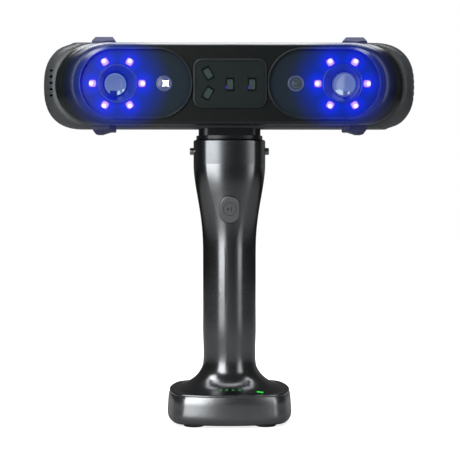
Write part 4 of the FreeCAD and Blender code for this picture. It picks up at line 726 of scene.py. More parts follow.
class Finishes:
    """Every finish of the scanner, made once and shared by its pieces."""

    def __init__(self, ring: LampRing) -> None:
        """Build all the materials.

        Args:
            ring: where the lamps that light them are.
        """
        surfaces = [
            # Smooth moulded black ABS: a dense near-black with a soft satin sheen, with a painted
            # highlight, a paler tone along its top edge, and a painted glow of the lamps' blue
            # light.
            Finish("satin_black_abs", "#0f1313", 0.24, grain=0.5, grain_height=0.002, mottle=0.06,
                   rim="#a8aaac", glow=Glow.SHELL),
            # Spark-eroded grey ABS: a fine even grain that spreads the light, with a faint painted
            # glow of the lamps' blue light.
            Finish("grained_grey_abs", "#34373a", 0.42, grain=0.7, grain_height=0.03, mottle=0.08,
                   glow=Glow.FAINT),
            # Black silicone seal: matt and soft, with a painted glow of the lamps' blue light.
            Finish("black_silicone_seal", "#101112", 0.6, grain=0.6, grain_height=0.01,
                   glow=Glow.SHELL),
            # Thermoplastic rubber, matt, with a faint grain. Its navy tone is partly painted blue
            # lamp light over a dark blue-grey, with a faint painted glow besides.
            Finish("navy_rubber", "#23264a", 0.5, grain=0.6, grain_height=0.015, mottle=0.08,
                   glow=Glow.FAINT),
            # Satin black ABS bezel with crisp edges, and a strong painted glow of the lamps' blue
            # light.
            Finish("bezel_black_abs", "#1c2026", 0.26, grain=0.5, grain_height=0.002, mottle=0.05,
                   edge=0.45, glow=Glow.PLATE),
            # Smoked acrylic window plate: dark slate that fills with the lamps' blue, painted as a
            # glow and a bluer tone.
            Finish("smoked_acrylic_window", "#1b252e", 0.2, edge=0.3, glow=Glow.PLATE),
            # Black anodised aluminium hood and barrel, with a painted glow of the lamps' blue
            # light.
            Finish("black_anodised_barrel", "#0c0e12", 0.3, glow=Glow.BARREL),
            # Edge of the hood: its pale blue tone is a painted highlight of the lamps' light on
            # the rim, with a painted glow besides.
            Finish("painted_highlight_hood_lip", "#3a4276", 0.25, glow=Glow.BARREL),
            # Glass epoxy circuit board under green solder mask.
            Finish("green_circuit_board", "#14382a", 0.35, mottle=0.15, mottle_size=4.0),
            # Opal polycarbonate lens of the fill light.
            Finish("opal_polycarbonate", "#464f78", 0.25, mottle=0.1, mottle_size=3.0),
            # Glass-filled black nylon of the colour camera.
            Finish("black_nylon_camera", "#3a4460", 0.3, mottle=0.06, mottle_size=3.0),
            # Slate-grey ABS of the raised centre panel.
            Finish("slate_abs_panel", "#171f1e", 0.24, grain=0.5, grain_height=0.002, mottle=0.05),
            # Black inner frames of the laser windows.
            Finish("black_laser_frame", "#050707", 0.2),
            # Grey filter glass over the lasers.
            Finish("grey_filter_glass", "#34413f", 0.16, mottle=0.06, mottle_size=3.0),
            # Turned brass laser modules.
            Finish("turned_brass", "#b08d4a", 0.3, metallic=1.0, mottle=0.1),
            # Die-cast aluminium frame and brackets.
            Finish("cast_aluminium", "#9a9c9e", 0.5, metallic=1.0, grain=0.8, grain_height=0.02),
            # Zinc-plated steel screws and pins.
            Finish("plated_steel", "#8d9094", 0.3, metallic=1.0, mottle=0.05, mottle_size=2.0),
            # Extruded aluminium heat sink.
            Finish("extruded_aluminium", "#a5a8ab", 0.4, metallic=1.0),
            # Amber polyimide ribbon cables.
            Finish("amber_polyimide", "#7a5324", 0.35, mottle=0.1),
            # Glass-filled black PBT of the fan.
            Finish("black_pbt_fan", "#121314", 0.45, mottle=0.05),
            # Gunmetal anodised collar: satin metal with clear upright streaks of light.
            Finish("gunmetal_anodised", "#636668", 0.25, metallic=1.0, grain=0.4,
                   grain_height=0.002, mottle=0.05, mottle_size=12.0),
            # Black nylon neck under the head.
            Finish("black_nylon_neck", "#26282a", 0.3, metallic=0.6, mottle=0.05, edge=0.3),
            # Graphite metallic lacquer on the grip, lightly textured.
            Finish("graphite_lacquer", "#707274", 0.21, metallic=1.0, grain=0.45,
                   grain_height=0.004, mottle=0.05, mottle_size=14.0),
            # The same lacquer on the foot's tray, a little coarser and lighter.
            Finish("foot_lacquer", "#7e8082", 0.26, metallic=1.0, grain=0.45, grain_height=0.005,
                   mottle=0.05, mottle_size=14.0),
            # Soft-touch graphite button.
            Finish("graphite_button", "#8a8c8e", 0.3, metallic=1.0, grain=0.4, grain_height=0.003,
                   mottle=0.04),
            # Blue shrink sleeve of the lithium cells.
            Finish("cell_sleeve", "#2a5a8c", 0.35, mottle=0.06),
            # Black acetal cradle.
            Finish("black_acetal", "#18191a", 0.4, mottle=0.05),
            # Black PVC of the handle cable.
            Finish("black_pvc", "#141414", 0.45, mottle=0.06),
            # Dark moulded rubber feet.
            Finish("dark_rubber_foot", "#1a1b1c", 0.65, grain=0.6, grain_height=0.02, mottle=0.1),
            # Pale rim of the small colour camera.
            Finish("colour_camera_rim", "#48517a", 0.3, mottle=0.08, mottle_size=3.0),
            # Dark coated glass of its pupil.
            Finish("deep_pupil_glass", "#39465e", 0.08, coat=1.0, mottle=0.1, mottle_size=1.0),
            # Printed marks on the buttons, a dark grey.
            Finish("button_mark", "#2e3031", 0.45, mottle=0.06, mottle_size=2.0),
            # Blackened steel screen.
            Finish("blackened_screen", "#2a2b2d", 0.45, metallic=0.8, mottle=0.1, mottle_size=2.0),
            # Gold flash on copper contacts.
            Finish("gilt_contact", "#c9a24a", 0.25, metallic=1.0, mottle=0.08, mottle_size=1.0),
            # Dull green acrylic light pipes, the battery steps that are dim.
            Finish("dim_green_acrylic", "#1f6b2a", 0.3),
        ]
        self.by_name = {finish.name: finish.material(ring) for finish in surfaces}
        lit = [
            LitFinish("lit_green_acrylic", "#19d63a", 0.9),
            LitFinish("white_fill_emitter", WHITE, 1.1),
            # A painted reflection: the lamps' light on the laser windows' edges, glowing though it
            # is no lamp.
            LitFinish("lilac_laser_glint", "#4c46a8", 0.6),
        ]
        self.by_name.update({finish.name: finish.material() for finish in lit})
        self.by_name["violet_lamp_chip"] = ChipFinish("violet_lamp_chip").material(ring)
        self.by_name["coated_camera_glass"] = LensFinish("coated_camera_glass").material(ring)

    def __getitem__(self, name: str) -> bpy.types.Material:
        """Return the material of that name."""
        return self.by_name[name]


# ---------------------------------------------------------------- CAD nodes and their finishes
NODE_FINISHES: dict[str, tuple[str, ...]] = {
    "satin_black_abs": ("front_shell",),
    "grained_grey_abs": ("rear_shell",),
    "black_silicone_seal": ("shell_gasket",),
    "navy_rubber": ("bumpers",),
    "bezel_black_abs": ("left_bezel", "right_bezel"),
    "smoked_acrylic_window": ("left_window_plate", "right_window_plate"),
    "black_anodised_barrel": ("left_camera_barrel", "right_camera_barrel"),
    "coated_camera_glass": ("camera_glasses",),
    "green_circuit_board": ("sensor_boards", "led_boards", "main_board", "base_board",
                            "button_board"),
    "violet_lamp_chip": ("camera_leds",),
    "opal_polycarbonate": ("fill_light_disc",),
    "white_fill_emitter": ("fill_light_led",),
    "black_nylon_camera": ("colour_camera_body",),
    "grey_filter_glass": ("colour_camera_glass", "laser_glasses"),
    "slate_abs_panel": ("center_panel", "center_face"),
    "black_laser_frame": ("laser_frames",),
    "turned_brass": ("laser_modules", "contact_pins"),
    "cast_aluminium": ("laser_bracket", "optical_frame"),
    "plated_steel": ("front_screws", "rear_screws", "grip_screws", "base_screws",
                     "left_release_pin", "right_release_pin", "left_release_spring",
                     "right_release_spring", "button_dome", "cell_contacts", "usb_socket"),
    "extruded_aluminium": ("heatsink",),
    "amber_polyimide": ("camera_ribbons",),
    "black_pbt_fan": ("fan_frame", "fan_rotor", "contact_block"),
    "gunmetal_anodised": ("collar",),
    "black_nylon_neck": ("neck_spigot",),
    "graphite_lacquer": ("grip_front_half", "grip_rear_half"),
    "foot_lacquer": ("base_tray",),
    "graphite_button": ("scan_button", "power_button"),
    "cell_sleeve": ("battery_cells",),
    "black_acetal": ("cell_cradle", "base_plate"),
    "black_pvc": ("handle_cable",),
    "dark_rubber_foot": ("base_feet",),
    "dim_green_acrylic": ("charge_light_pipes",),
    "lit_green_acrylic": ("wifi_light_pipe",),
}


def dress_frame(nodes: dict[str, bpy.types.Object], finishes: Finishes) -> None:
    """Give every CAD node its finish.

    Args:
        nodes: the frame's nodes by name.
        finishes: the finishes.
    """
    for finish, names in NODE_FINISHES.items():
        for name in names:
            dress(nodes[name], finishes[finish])
            LOG.info("node %s: %s", name, finish)


# ---------------------------------------------------------------- cameras
@dataclass
class CameraEye:
    """The ridged baffle and the retaining ring in front of one camera's glass.

    Sizes are in millimetres and the toe-in is in degrees. Outlines are (radius, height) points,
    and each key is (side, x, z, width, height).
    """

    side: int
    ring: LampRing
    finishes: Finishes
    toe_in: float = 13.0
    mouth_radius: float = 10.2
    mouth_y: float = -0.35
    throat_radius: float = 6.95
    throat_depth: float = 7.5
    ledges: int = 5
    ledge_step: float = 0.28
    ledge_rise: float = 0.12
    baffle_wall: float = 0.08
    segments: int = 96
    lip: tuple[tuple[float, float], ...] = (
        (11.15, 0.3), (11.2, 0.44), (11.35, 0.5), (11.5, 0.44), (11.55, 0.3))
    retainer: tuple[tuple[float, float], ...] = (
        (6.3, -7.3), (6.3, -6.95), (6.5, -6.75), (7.1, -6.75), (7.1, -7.35))
    key_back: float = -6.95
    key_thick: float = 0.4
    key_corner: float = 0.25
    key_edge: float = 0.1
    keys: tuple[tuple[int, float, float, float, float], ...] = (
        (-1, -1.25, -5.05, 4.1, 2.6), (1, 0.85, -5.1, 2.5, 2.6), (1, 3.85, -5.3, 1.3, 1.9))

    @property
    def prefix(self) -> str:
        """The side's name."""
        return "left" if self.side < 0 else "right"

    def place(self, depth: float, share: float) -> Matrix:
        """Stand a flat ring on the way from the window's plane to the camera's axis.

        Args:
            depth: distance behind the window plate's front, in mm.
            share: 0 square to the window, 1 square to the camera's axis.

        Returns:
            The matrix from the ring's own XY plane to its place, in metres.
        """
        turn = math.radians(-self.side * self.toe_in)
        tilt = turn * share
        back = Vector((math.sin(-turn) * depth * share,
                       depth * (math.cos(turn) * share + 1 - share), 0.0))
        mouth = Vector((self.side * self.ring.camera_x, self.ring.window_y, self.ring.camera_z))
        return (Matrix.Translation((mouth + back) * MM) @ Matrix.Rotation(tilt, 4, "Z")
                @ FACING)

    def baffle(self) -> None:
        """Build the stepped cone between the hood's mouth and the glass."""
        stations = []
        for index in range(self.ledges + 1):
            share = index / self.ledges
            depth = self.mouth_y + (self.throat_depth - self.mouth_y) * share
            radius = self.mouth_radius + (self.throat_radius - self.mouth_radius) * share
            if index:
                stations.append((depth - self.ledge_rise, share, radius + self.ledge_step))
            stations.append((depth, share, radius))
        bm = bmesh.new()
        before = None
        for depth, share, radius in stations:
            ring = bmesh.ops.create_circle(bm, segments=self.segments, radius=radius * MM,
                                           matrix=self.place(depth, share))
            edges = list({edge for vert in ring["verts"] for edge in vert.link_edges})
            if before is not None:
                bmesh.ops.bridge_loops(bm, edges=before + edges)
            before = edges
        bmesh.ops.solidify(bm, geom=bm.faces[:], thickness=-self.baffle_wall * MM)
        finish_piece(bm, f"{self.prefix}_baffle", BODY,
                     self.finishes["black_anodised_barrel"], smooth=False)

    def lens_retainer(self) -> None:
        """Build the threaded ring that holds the glass, with its keys."""
        bm = spun(self.retainer, steps=self.segments)
        for side, x, z, width, height in self.keys:
            if side == self.side:
                key = rounded_block((width, height, self.key_thick), self.key_corner,
                                    self.key_edge)
                join(bm, key, [Matrix.Translation((x, z, self.key_back))])
        bmesh.ops.transform(bm, verts=bm.verts, matrix=self.place(0.0, 1.0) @ Matrix.Scale(MM, 4))
        finish_piece(bm, f"{self.prefix}_lens_retainer", BODY,
                     self.finishes["black_anodised_barrel"], smooth=False)

    def hood_lip(self) -> None:
        """Build the thin bead round the hood's mouth, whose pale blue tone is a painted highlight.
        """
        bm = spun(self.lip, steps=self.segments)
        bmesh.ops.transform(bm, verts=bm.verts, matrix=front(
            self.side * self.ring.camera_x, self.ring.window_y, self.ring.camera_z))
        finish_piece(bm, f"{self.prefix}_hood_lip", BODY,
                     self.finishes["painted_highlight_hood_lip"], smooth=False)

    def build(self) -> None:
        """Build all the pieces of this eye."""
        self.baffle()
        self.lens_retainer()
        self.hood_lip()


# ---------------------------------------------------------------- lamps and small optics
@dataclass
class HeadLamps:
    """The lamp packages, the fill light and the small colour camera beside the two cameras.

    Sizes are in millimetres. Outlines are (radius, height) points.
    """

    ring: LampRing
    finishes: Finishes
    dome_size: float = 4.1
    dome_corner: float = 0.7
    dome_proud: float = 0.34
    dome_edge: float = 0.22
    body_size: float = 3.5
    body_depth: float = 1.2
    body_corner: float = 0.2
    lens_outline: tuple[tuple[float, float], ...] = (
        (0.0, 0.55), (1.6, 0.5), (2.9, 0.34), (3.4, 0.2), (3.6, 0.12), (3.75, 0.22),
        (4.05, 0.34), (4.4, 0.25), (4.6, 0.05))
    lens_inset: float = 0.1
    emitter_half: float = 2.0
    emitter_steps: int = 8
    emitter_thick: float = 0.12
    emitter_proud: float = 0.42
    emitter_shift: float = 0.9
    emitter_pull: float = 0.45
    camera_rim: tuple[tuple[float, float], ...] = (
        (4.6, 0.0), (4.55, 0.14), (4.35, 0.2), (4.05, 0.16), (3.95, 0.0))
    camera_stop: tuple[tuple[float, float], ...] = (
        (2.5, 0.0), (2.45, 0.08), (2.25, 0.08), (2.2, 0.0))
    stop_sunk: float = 0.2
    pupil_outline: tuple[tuple[float, float], ...] = (
        (0.0, 0.06), (0.7, 0.1), (1.15, 0.03), (1.25, 0.0), (0.0, -0.05))
    pupil_shift: float = -0.6
    pupil_sunk: float = 0.18

    def lamp_packages(self) -> None:
        """Build the twelve lamps: a square body let into the window, under a low dome."""
        one = rounded_block((self.dome_size, self.dome_size, self.dome_proud), self.dome_corner,
                            self.dome_edge)
        body = rounded_block((self.body_size, self.body_size, self.body_depth),
                             self.body_corner)
        join(one, body, [Matrix.Translation((0, 0, -self.body_depth))])
        bm = bmesh.new()
        join(bm, one, self.ring.places(self.ring.window_y))
        piece = finish_piece(bm, "lamp_packages", BODY, self.finishes["violet_lamp_chip"],
                             smooth=False)
        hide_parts("camera_leds")

    def fill_light(self) -> None:
        """Build the fill light's opal lens, and the white emitter that shows through it."""
        low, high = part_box("fill_light_disc")
        x, z = (low.x + high.x) / 2 / MM, (low.z + high.z) / 2 / MM
        back = self.lens_inset - (high.y - low.y) / MM
        lens = spun(self.lens_outline + ((self.lens_outline[-1][0], back), (0.0, back)),
                    closed=False)
        bmesh.ops.transform(lens, verts=lens.verts,
                            matrix=front(x, low.y / MM + self.lens_inset, z))
        piece = finish_piece(lens, "fill_light_lens", BODY,
                             self.finishes["opal_polycarbonate"], smooth=False)
        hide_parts("fill_light_disc")
        half = self.emitter_half
        bm = bmesh.new()
        bmesh.ops.create_grid(bm, x_segments=self.emitter_steps, y_segments=self.emitter_steps,
                              size=half)
        for vert in bm.verts:
            pull_x = self.emitter_pull * (1 - (vert.co.y / half) ** 2) * vert.co.x / half
            pull_y = self.emitter_pull * (1 - (vert.co.x / half) ** 2) * vert.co.y / half
            vert.co.x -= pull_x
            vert.co.y -= pull_y
        flat = bmesh.ops.extrude_face_region(bm, geom=bm.faces[:])
        raised = [item for item in flat["geom"] if isinstance(item, bmesh.types.BMVert)]
        bmesh.ops.translate(bm, verts=raised, vec=(0, 0, self.emitter_thick))
        bmesh.ops.transform(bm, verts=bm.verts, matrix=front(
            x + self.emitter_shift, low.y / MM - self.emitter_proud, z))
        piece = finish_piece(bm, "fill_light_emitter", BODY,
                             self.finishes["white_fill_emitter"], smooth=False)
        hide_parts("fill_light_led")

    def colour_camera_rings(self) -> None:
        """Build the rim of the small colour camera, and the stop and pupil of its lens."""
        low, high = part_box("colour_camera_body")
        x, z, y = (low.x + high.x) / 2 / MM, (low.z + high.z) / 2 / MM, low.y / MM
        rim = spun(self.camera_rim)
        join(rim, spun(self.camera_stop), [Matrix.Translation((0, 0, -self.stop_sunk))])
        bmesh.ops.transform(rim, verts=rim.verts, matrix=front(x, y, z))
        finish_piece(rim, "colour_camera_rings", BODY,
                     self.finishes["colour_camera_rim"], smooth=False)
        pupil = spun(self.pupil_outline, closed=False)
        bmesh.ops.transform(pupil, verts=pupil.verts,
                            matrix=front(x + self.pupil_shift, y + self.pupil_sunk, z))
        finish_piece(pupil, "colour_camera_pupil", BODY,
                     self.finishes["deep_pupil_glass"], smooth=False)

    def build(self) -> None:
        """Build all the lamps and small optics."""
        self.lamp_packages()
        self.fill_light()
        self.colour_camera_rings()


@dataclass
class LaserPanel:
    """Painted reflections of the lamps' light on the inner edges of the two upright laser windows.

    Sizes are in millimetres. `windows` holds each window's middle across and above the cameras.
    """

    ring: LampRing
    finishes: Finishes
    windows: tuple[tuple[float, float], ...] = ((0.0, -0.6), (12.7, -0.6))
    inset_x: float = 1.95
    drop: float = 1.7
    size: tuple[float, float, float] = (0.45, 1.6, 0.1)
    corner: float = 0.25
    edge: float = 0.04
    sunk: float = 0.02

    def build(self) -> None:
        """Build the two lilac slivers of painted reflection."""
        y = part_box("laser_frames")[0].y / MM
        bm = bmesh.new()
        join(bm, rounded_block(self.size, self.corner, self.edge),
             [front(x - self.inset_x, y + self.sunk, self.ring.camera_z + z - self.drop)
              for x, z in self.windows])
        finish_piece(bm, "laser_window_slivers", BODY,
                     self.finishes["lilac_laser_glint"], smooth=False)


# ---------------------------------------------------------------- buttons
@dataclass
class ButtonMarks:
    """The raised ring and the start-and-pause mark of the scan button, and the power mark.

    Sizes are in millimetres. Each mark reaches `root` below the face that it stands on.
    """

    nodes: dict[str, bpy.types.Object]
    finishes: Finishes
    ring_radius: float = 3.82
    ring_width: float = 0.34
    lift: float = 0.12
    root: float = 0.25
    bar: tuple[float, float] = (0.62, 3.0)
    bar_corner: float = 0.2
    bar_edge: float = 0.06
    bar_x: float = 0.95
    play_x: float = -1.0
    play_radius: float = 1.25
    power_radius: float = 1.9
    power_width: float = 0.4
    power_lift: float = 0.1
    power_gap: float = 0.7
    power_bar: tuple[float, float] = (0.4, 1.9)
    power_bar_corner: float = 0.15
    power_bar_edge: float = 0.04
    power_bar_z: float = 1.5

    def low_ring(self, radius: float, width: float, lift: float) -> bmesh.types.BMesh:
        """Make a low ring with rounded edges.

        Args:
            radius: its middle radius, in mm.
            width: its width, in mm.
            lift: its height, in mm.

        Returns:
            The ring, flat, in mm.
        """
        half = width / 2
        return spun(((radius - half, -self.root), (radius - half, lift * 0.6),
                     (radius - half * 0.5, lift), (radius + half * 0.5, lift),
                     (radius + half, lift * 0.6), (radius + half, -self.root)))

    def scan_marks(self) -> None:
        """Build the scan button's ring, triangle and bar, laid on its crowned face."""
        low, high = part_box("scan_button")
        z = (low.z + high.z) / 2 / MM
        node = self.nodes["scan_button"]
        ring = self.low_ring(self.ring_radius, self.ring_width, self.lift)
        bmesh.ops.transform(ring, verts=ring.verts, matrix=front(0.0, low.y / MM, z))
        settle(ring, node, low.y)
        finish_piece(ring, "scan_button_ring", "scan_button",
                     self.finishes["button_mark"], smooth=False)
        bm = bmesh.new()
        bmesh.ops.create_circle(bm, cap_ends=True, segments=3, radius=self.play_radius)
        sides = bmesh.ops.extrude_face_region(bm, geom=bm.faces[:])
        top = [item for item in sides["geom"] if isinstance(item, bmesh.types.BMVert)]
        bmesh.ops.translate(bm, verts=top, vec=(0, 0, self.lift + self.root))
        bmesh.ops.translate(bm, verts=bm.verts, vec=(0, 0, -self.root))
        turned = bmesh.new()
        join(turned, bm, [Matrix.Translation((self.play_x, 0, 0))
                          @ Matrix.Rotation(math.radians(-90), 4, "Z")])
        bar = rounded_block((*self.bar, self.lift + self.root), self.bar_corner, self.bar_edge)
        join(turned, bar, [Matrix.Translation((self.bar_x, 0, -self.root))])
        bmesh.ops.transform(turned, verts=turned.verts, matrix=front(0.0, low.y / MM, z))
        settle(turned, node, low.y)
        finish_piece(turned, "scan_button_glyph", "scan_button",
                     self.finishes["button_mark"], smooth=False)

    def power_mark(self) -> None:
        """Build the usual ring and bar on the power button at the back."""
        low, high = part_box("power_button")
        x, z = (low.x + high.x) / 2 / MM, (low.z + high.z) / 2 / MM
        bm = self.low_ring(self.power_radius, self.power_width, self.power_lift)
        gap = [vert for vert in bm.verts if vert.co.y > 0 and abs(vert.co.x) < self.power_gap]
        bmesh.ops.delete(bm, geom=gap, context="VERTS")
        holes = [edge for edge in bm.edges if edge.is_boundary]
        bmesh.ops.holes_fill(bm, edges=holes, sides=0)
        bar = rounded_block((*self.power_bar, self.power_lift + self.root),
                            self.power_bar_corner, self.power_bar_edge)
        join(bm, bar, [Matrix.Translation((0, self.power_bar_z, -self.root))])
        back = (Matrix.Translation((x * MM, high.y, z * MM))
                @ Matrix.Rotation(math.radians(180), 4, "Z") @ FACING @ Matrix.Scale(MM, 4))
        bmesh.ops.transform(bm, verts=bm.verts, matrix=back)
        finish_piece(bm, "power_mark", "power_button", self.finishes["button_mark"],
                     smooth=False)

    def build(self) -> None:
        """Build the marks."""
        self.scan_marks()
        self.power_mark()


# ---------------------------------------------------------------- vents and socket
@dataclass
class VentScreens:
    """A fine woven screen behind the slots at each end of the head.

    Sizes are in millimetres. `half` and `centre` run along the head's depth and its height, and
    `inset` is how far the screen stands in from the end of the rear shell.
    """

    finishes: Finishes
    half: tuple[float, float] = (8.0, 9.6)
    centre: tuple[float, float] = (2.0, 199.9)
    inset: float = 3.4
    pitch: float = 1.1
    wire: float = 0.32

    def build(self) -> None:
        """Build both screens."""
        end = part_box("rear_shell")[1].x / MM - self.inset
        bm = bmesh.new()
        across = [round(2 * half / self.pitch) for half in self.half]
        for side in (-1, 1):
            sheet = bmesh.new()
            bmesh.ops.create_grid(sheet, x_segments=across[0], y_segments=across[1], size=1.0)
            bmesh.ops.wireframe(sheet, faces=sheet.faces[:], thickness=self.wire / self.half[1],
                                offset=0.0, use_replace=True, use_boundary=True,
                                use_even_offset=True)
            place = (Matrix.Translation(Vector((side * end, *self.centre)) * MM)
                     @ Matrix.Rotation(math.radians(90), 4, "Z") @ FACING
                     @ Matrix.Diagonal((self.half[0] * MM, self.half[1] * MM,
                                        self.half[1] * MM, 1)))
            join(bm, sheet, [place])
        finish_piece(bm, "vent_screens", BODY, self.finishes["blackened_screen"],
                     smooth=False)


@dataclass
class SocketContacts:
    """The gilt contacts on the tongue of the charging socket, in millimetres."""

    finishes: Finishes
    count: int = 12
    pitch: float = 0.5
    size: tuple[float, float, float] = (0.25, 3.2, 0.05)
    corner: float = 0.08
    from_mouth: float = 2.7
    tongue_half: float = 0.37

    def build(self) -> None:
        """Build the row of contacts on the top and the bottom of the tongue."""
        low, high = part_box("usb_socket")
        middle = (low.z + high.z) / 2 / MM
        bm = bmesh.new()
        places = []
        for index in range(self.count):
            x = (index - (self.count - 1) / 2) * self.pitch
            for up in (-1, 1):
                spot = Vector((x, high.y / MM - self.from_mouth, middle + up * self.tongue_half))
                places.append(Matrix.Translation(spot * MM) @ Matrix.Scale(MM, 4))
        join(bm, rounded_block(self.size, self.corner), places)
        finish_piece(bm, "socket_contacts", BODY, self.finishes["gilt_contact"],
                     smooth=False)


# ---------------------------------------------------------------- studio
@dataclass(frozen=True)
class SoftBox:
    """A soft studio lamp that faces the scanner. Sizes are in metres, angles in degrees."""

    name: str
    azimuth: float
    height: float
    distance: float
    width: float
    tall: float
    radiance: float

    def build(self, target: Vector) -> None:
        """Make the lamp.

        Args:
            target: the point that it faces.
        """
        angle = math.radians(self.azimuth)
        spot = Vector((math.sin(angle) * self.distance, -math.cos(angle) * self.distance,
                       self.height))
        data = bpy.data.lights.new(self.name, "AREA")
        data.shape = "RECTANGLE"
        data.size = self.width
        data.size_y = self.tall
        data.energy = self.radiance * math.pi * self.width * self.tall
        lamp = bpy.data.objects.new(self.name, data)
        lamp.location = spot
        lamp.rotation_euler = (target - spot).to_track_quat("-Z", "Y").to_euler()
        lamp.visible_camera = False
        bpy.context.scene.collection.objects.link(lamp)
        LOG.info("lamp %s at azimuth %.0f", self.name, self.azimuth)


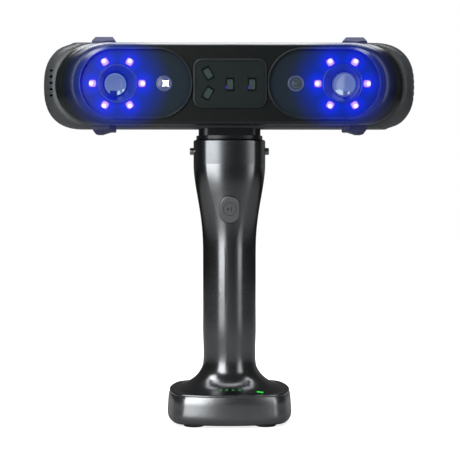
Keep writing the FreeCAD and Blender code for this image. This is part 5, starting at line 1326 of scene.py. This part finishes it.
@dataclass
class Studio:
    """Floor, lamps, world and camera.

    Distances are in metres and angles in degrees. `rim_way` is the way to the pale side of the
    dark room that gloss and metal see, and `sheet_dim` the share of the floor's tone that they
    lose from `sheet_near` to `sheet_far`.
    """

    distance: float = 0.790
    height: float = 0.1432
    yaw: float = -0.8
    pitch: float = -2.11
    sideways: float = 0.00036
    focal_pixels: float = 1316.0
    frame_pixels: float = 460.0
    sensor: float = 36.0
    clip: tuple[float, float] = (0.01, 20.0)
    aim: tuple[float, float, float] = (0.0, 0.0, 0.13)
    floor_half: float = 2.5
    ambient: float = 0.35
    rim_way: tuple[float, float, float] = (0.64, 0.77, 0.0)
    rim_edge: float = 0.86
    rim_light: float = 0.2
    dark_room: float = 0.07
    sheet_tone: str = "#c8c8c8"
    sheet_far_tone: str = "#1c1d1e"
    sheet_white: float = 0.8
    sheet_dim: float = 0.6
    sheet_near: float = 0.65
    sheet_far: float = 1.05
    boxes: tuple[SoftBox, ...] = field(default_factory=lambda: (
        SoftBox("left_softbox", -30.0, 0.30, 0.95, 0.48, 0.95, 5.8),
        SoftBox("right_softbox", 42.0, 0.30, 0.95, 0.28, 0.95, 2.4),
        SoftBox("top_softbox", 180.0, 1.0, 0.08, 1.3, 0.42, 5.5),
        SoftBox("high_left_softbox", -80.0, 1.1, 0.6, 0.5, 0.5, 6.0),
    ))

    def camera(self) -> None:
        """Make the camera and give it to the scene."""
        data = bpy.data.cameras.new("studio_camera")
        data.sensor_width = self.sensor
        data.lens = self.focal_pixels / self.frame_pixels * self.sensor
        data.clip_start, data.clip_end = self.clip
        camera = bpy.data.objects.new("studio_camera", data)
        turn = math.radians(self.yaw)
        camera.location = (self.distance * math.sin(turn) + self.sideways * math.cos(turn),
                           -self.distance * math.cos(turn) + self.sideways * math.sin(turn),
                           self.height)
        camera.rotation_euler = (math.radians(90 + self.pitch), 0.0, turn)
        bpy.context.scene.collection.objects.link(camera)
        bpy.context.scene.camera = camera

    def world(self) -> None:
        """White all round, but gloss and metal see a dark room with one pale side behind."""
        world = bpy.data.worlds.new("studio_world")
        world.use_nodes = True
        tree = world.node_tree
        tree.nodes.clear()
        out = add_node(tree, "ShaderNodeOutputWorld")
        rays = add_node(tree, "ShaderNodeLightPath")
        coords = add_node(tree, "ShaderNodeTexCoord")
        along = add_node(tree, "ShaderNodeVectorMath", {"operation": "DOT_PRODUCT"},
                         {1: self.rim_way}, {0: coords.outputs["Generated"]})
        behind = add_node(tree, "ShaderNodeMapRange", {"interpolation_type": "SMOOTHSTEP"},
                          {"From Min": self.rim_edge, "From Max": 1.0,
                           "To Min": self.dark_room, "To Max": self.rim_light},
                          {"Value": along.outputs["Value"]})
        mirror = add_node(tree, "ShaderNodeMath", {"operation": "MAXIMUM"},
                          links={0: rays.outputs["Is Glossy Ray"],
                                 1: rays.outputs["Is Transmission Ray"]})
        ambient = add_node(tree, "ShaderNodeBackground", values={
            "Color": hex_linear(WHITE), "Strength": self.ambient})
        reflected = add_node(tree, "ShaderNodeBackground", values={"Color": hex_linear(WHITE)},
                             links={"Strength": behind.outputs[0]})
        seen = add_node(tree, "ShaderNodeBackground", values={
            "Color": hex_linear(WHITE), "Strength": 1.0})
        first = add_node(tree, "ShaderNodeMixShader", links={
            0: mirror.outputs[0], 1: ambient.outputs[0], 2: reflected.outputs[0]})
        second = add_node(tree, "ShaderNodeMixShader", links={
            0: rays.outputs["Is Camera Ray"], 1: first.outputs[0], 2: seen.outputs[0]})
        tree.links.new(second.outputs[0], out.inputs["Surface"])
        bpy.context.scene.world = world

    def floor(self) -> None:
        """A pale sheet that looks white and keeps the scanner's soft shadow."""
        bm = bmesh.new()
        bmesh.ops.create_grid(bm, x_segments=2, y_segments=2, size=self.floor_half)
        mesh = bpy.data.meshes.new("studio_floor")
        bm.to_mesh(mesh)
        bm.free()
        floor = bpy.data.objects.new("studio_floor", mesh)
        bpy.context.scene.collection.objects.link(floor)
        material, tree = new_tree("pale_studio_sheet")
        out = add_node(tree, "ShaderNodeOutputMaterial")
        rays = add_node(tree, "ShaderNodeLightPath")
        direct = add_node(tree, "ShaderNodeMath", {"operation": "MAXIMUM"},
                          links={0: rays.outputs["Is Camera Ray"],
                                 1: rays.outputs["Is Transmission Ray"]})
        level = add_node(tree, "ShaderNodeMath", {"operation": "MULTIPLY"},
                         {1: self.sheet_white}, {0: direct.outputs[0]})
        coords = add_node(tree, "ShaderNodeTexCoord")
        away = add_node(tree, "ShaderNodeVectorMath", {"operation": "LENGTH"},
                        links={0: coords.outputs["Object"]})
        far = add_node(tree, "ShaderNodeMapRange", {"interpolation_type": "SMOOTHSTEP"},
                       {"From Min": self.sheet_near, "From Max": self.sheet_far,
                        "To Min": self.sheet_dim},
                       {"Value": away.outputs["Value"]})
        dim = add_node(tree, "ShaderNodeMath", {"operation": "MULTIPLY"},
                       links={0: far.outputs[0], 1: rays.outputs["Is Glossy Ray"]})
        tone = add_node(tree, "ShaderNodeMix", {"data_type": "RGBA"},
                        {"A": hex_linear(self.sheet_tone), "B": hex_linear(self.sheet_far_tone)},
                        {"Factor": dim.outputs[0]})
        sheet = add_node(tree, "ShaderNodeBsdfDiffuse", links={"Color": tone.outputs["Result"]})
        white = add_node(tree, "ShaderNodeEmission", values={"Color": hex_linear(WHITE)},
                         links={"Strength": level.outputs[0]})
        both = add_node(tree, "ShaderNodeAddShader",
                        links={0: sheet.outputs[0], 1: white.outputs[0]})
        tree.links.new(both.outputs[0], out.inputs["Surface"])
        mesh.materials.append(material)

    def build(self) -> None:
        """Build the studio."""
        target = Vector(self.aim)
        for box in self.boxes:
            box.build(target)
        self.world()
        self.floor()
        self.camera()
        bpy.context.scene.view_settings.view_transform = "Standard"


def main() -> None:
    """Load the frame, dress it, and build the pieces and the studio."""
    logging.basicConfig(level=logging.INFO, format="%(name)s: %(message)s")
    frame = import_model()
    ring = LampRing.read()
    finishes = Finishes(ring)
    dress_frame(frame["nodes"], finishes)
    for side in (-1, 1):
        CameraEye(side, ring, finishes).build()
    HeadLamps(ring, finishes).build()
    LaserPanel(ring, finishes).build()
    ButtonMarks(frame["nodes"], finishes).build()
    VentScreens(finishes).build()
    SocketContacts(finishes).build()
    Studio().build()


if __name__ == "__main__":
    main()
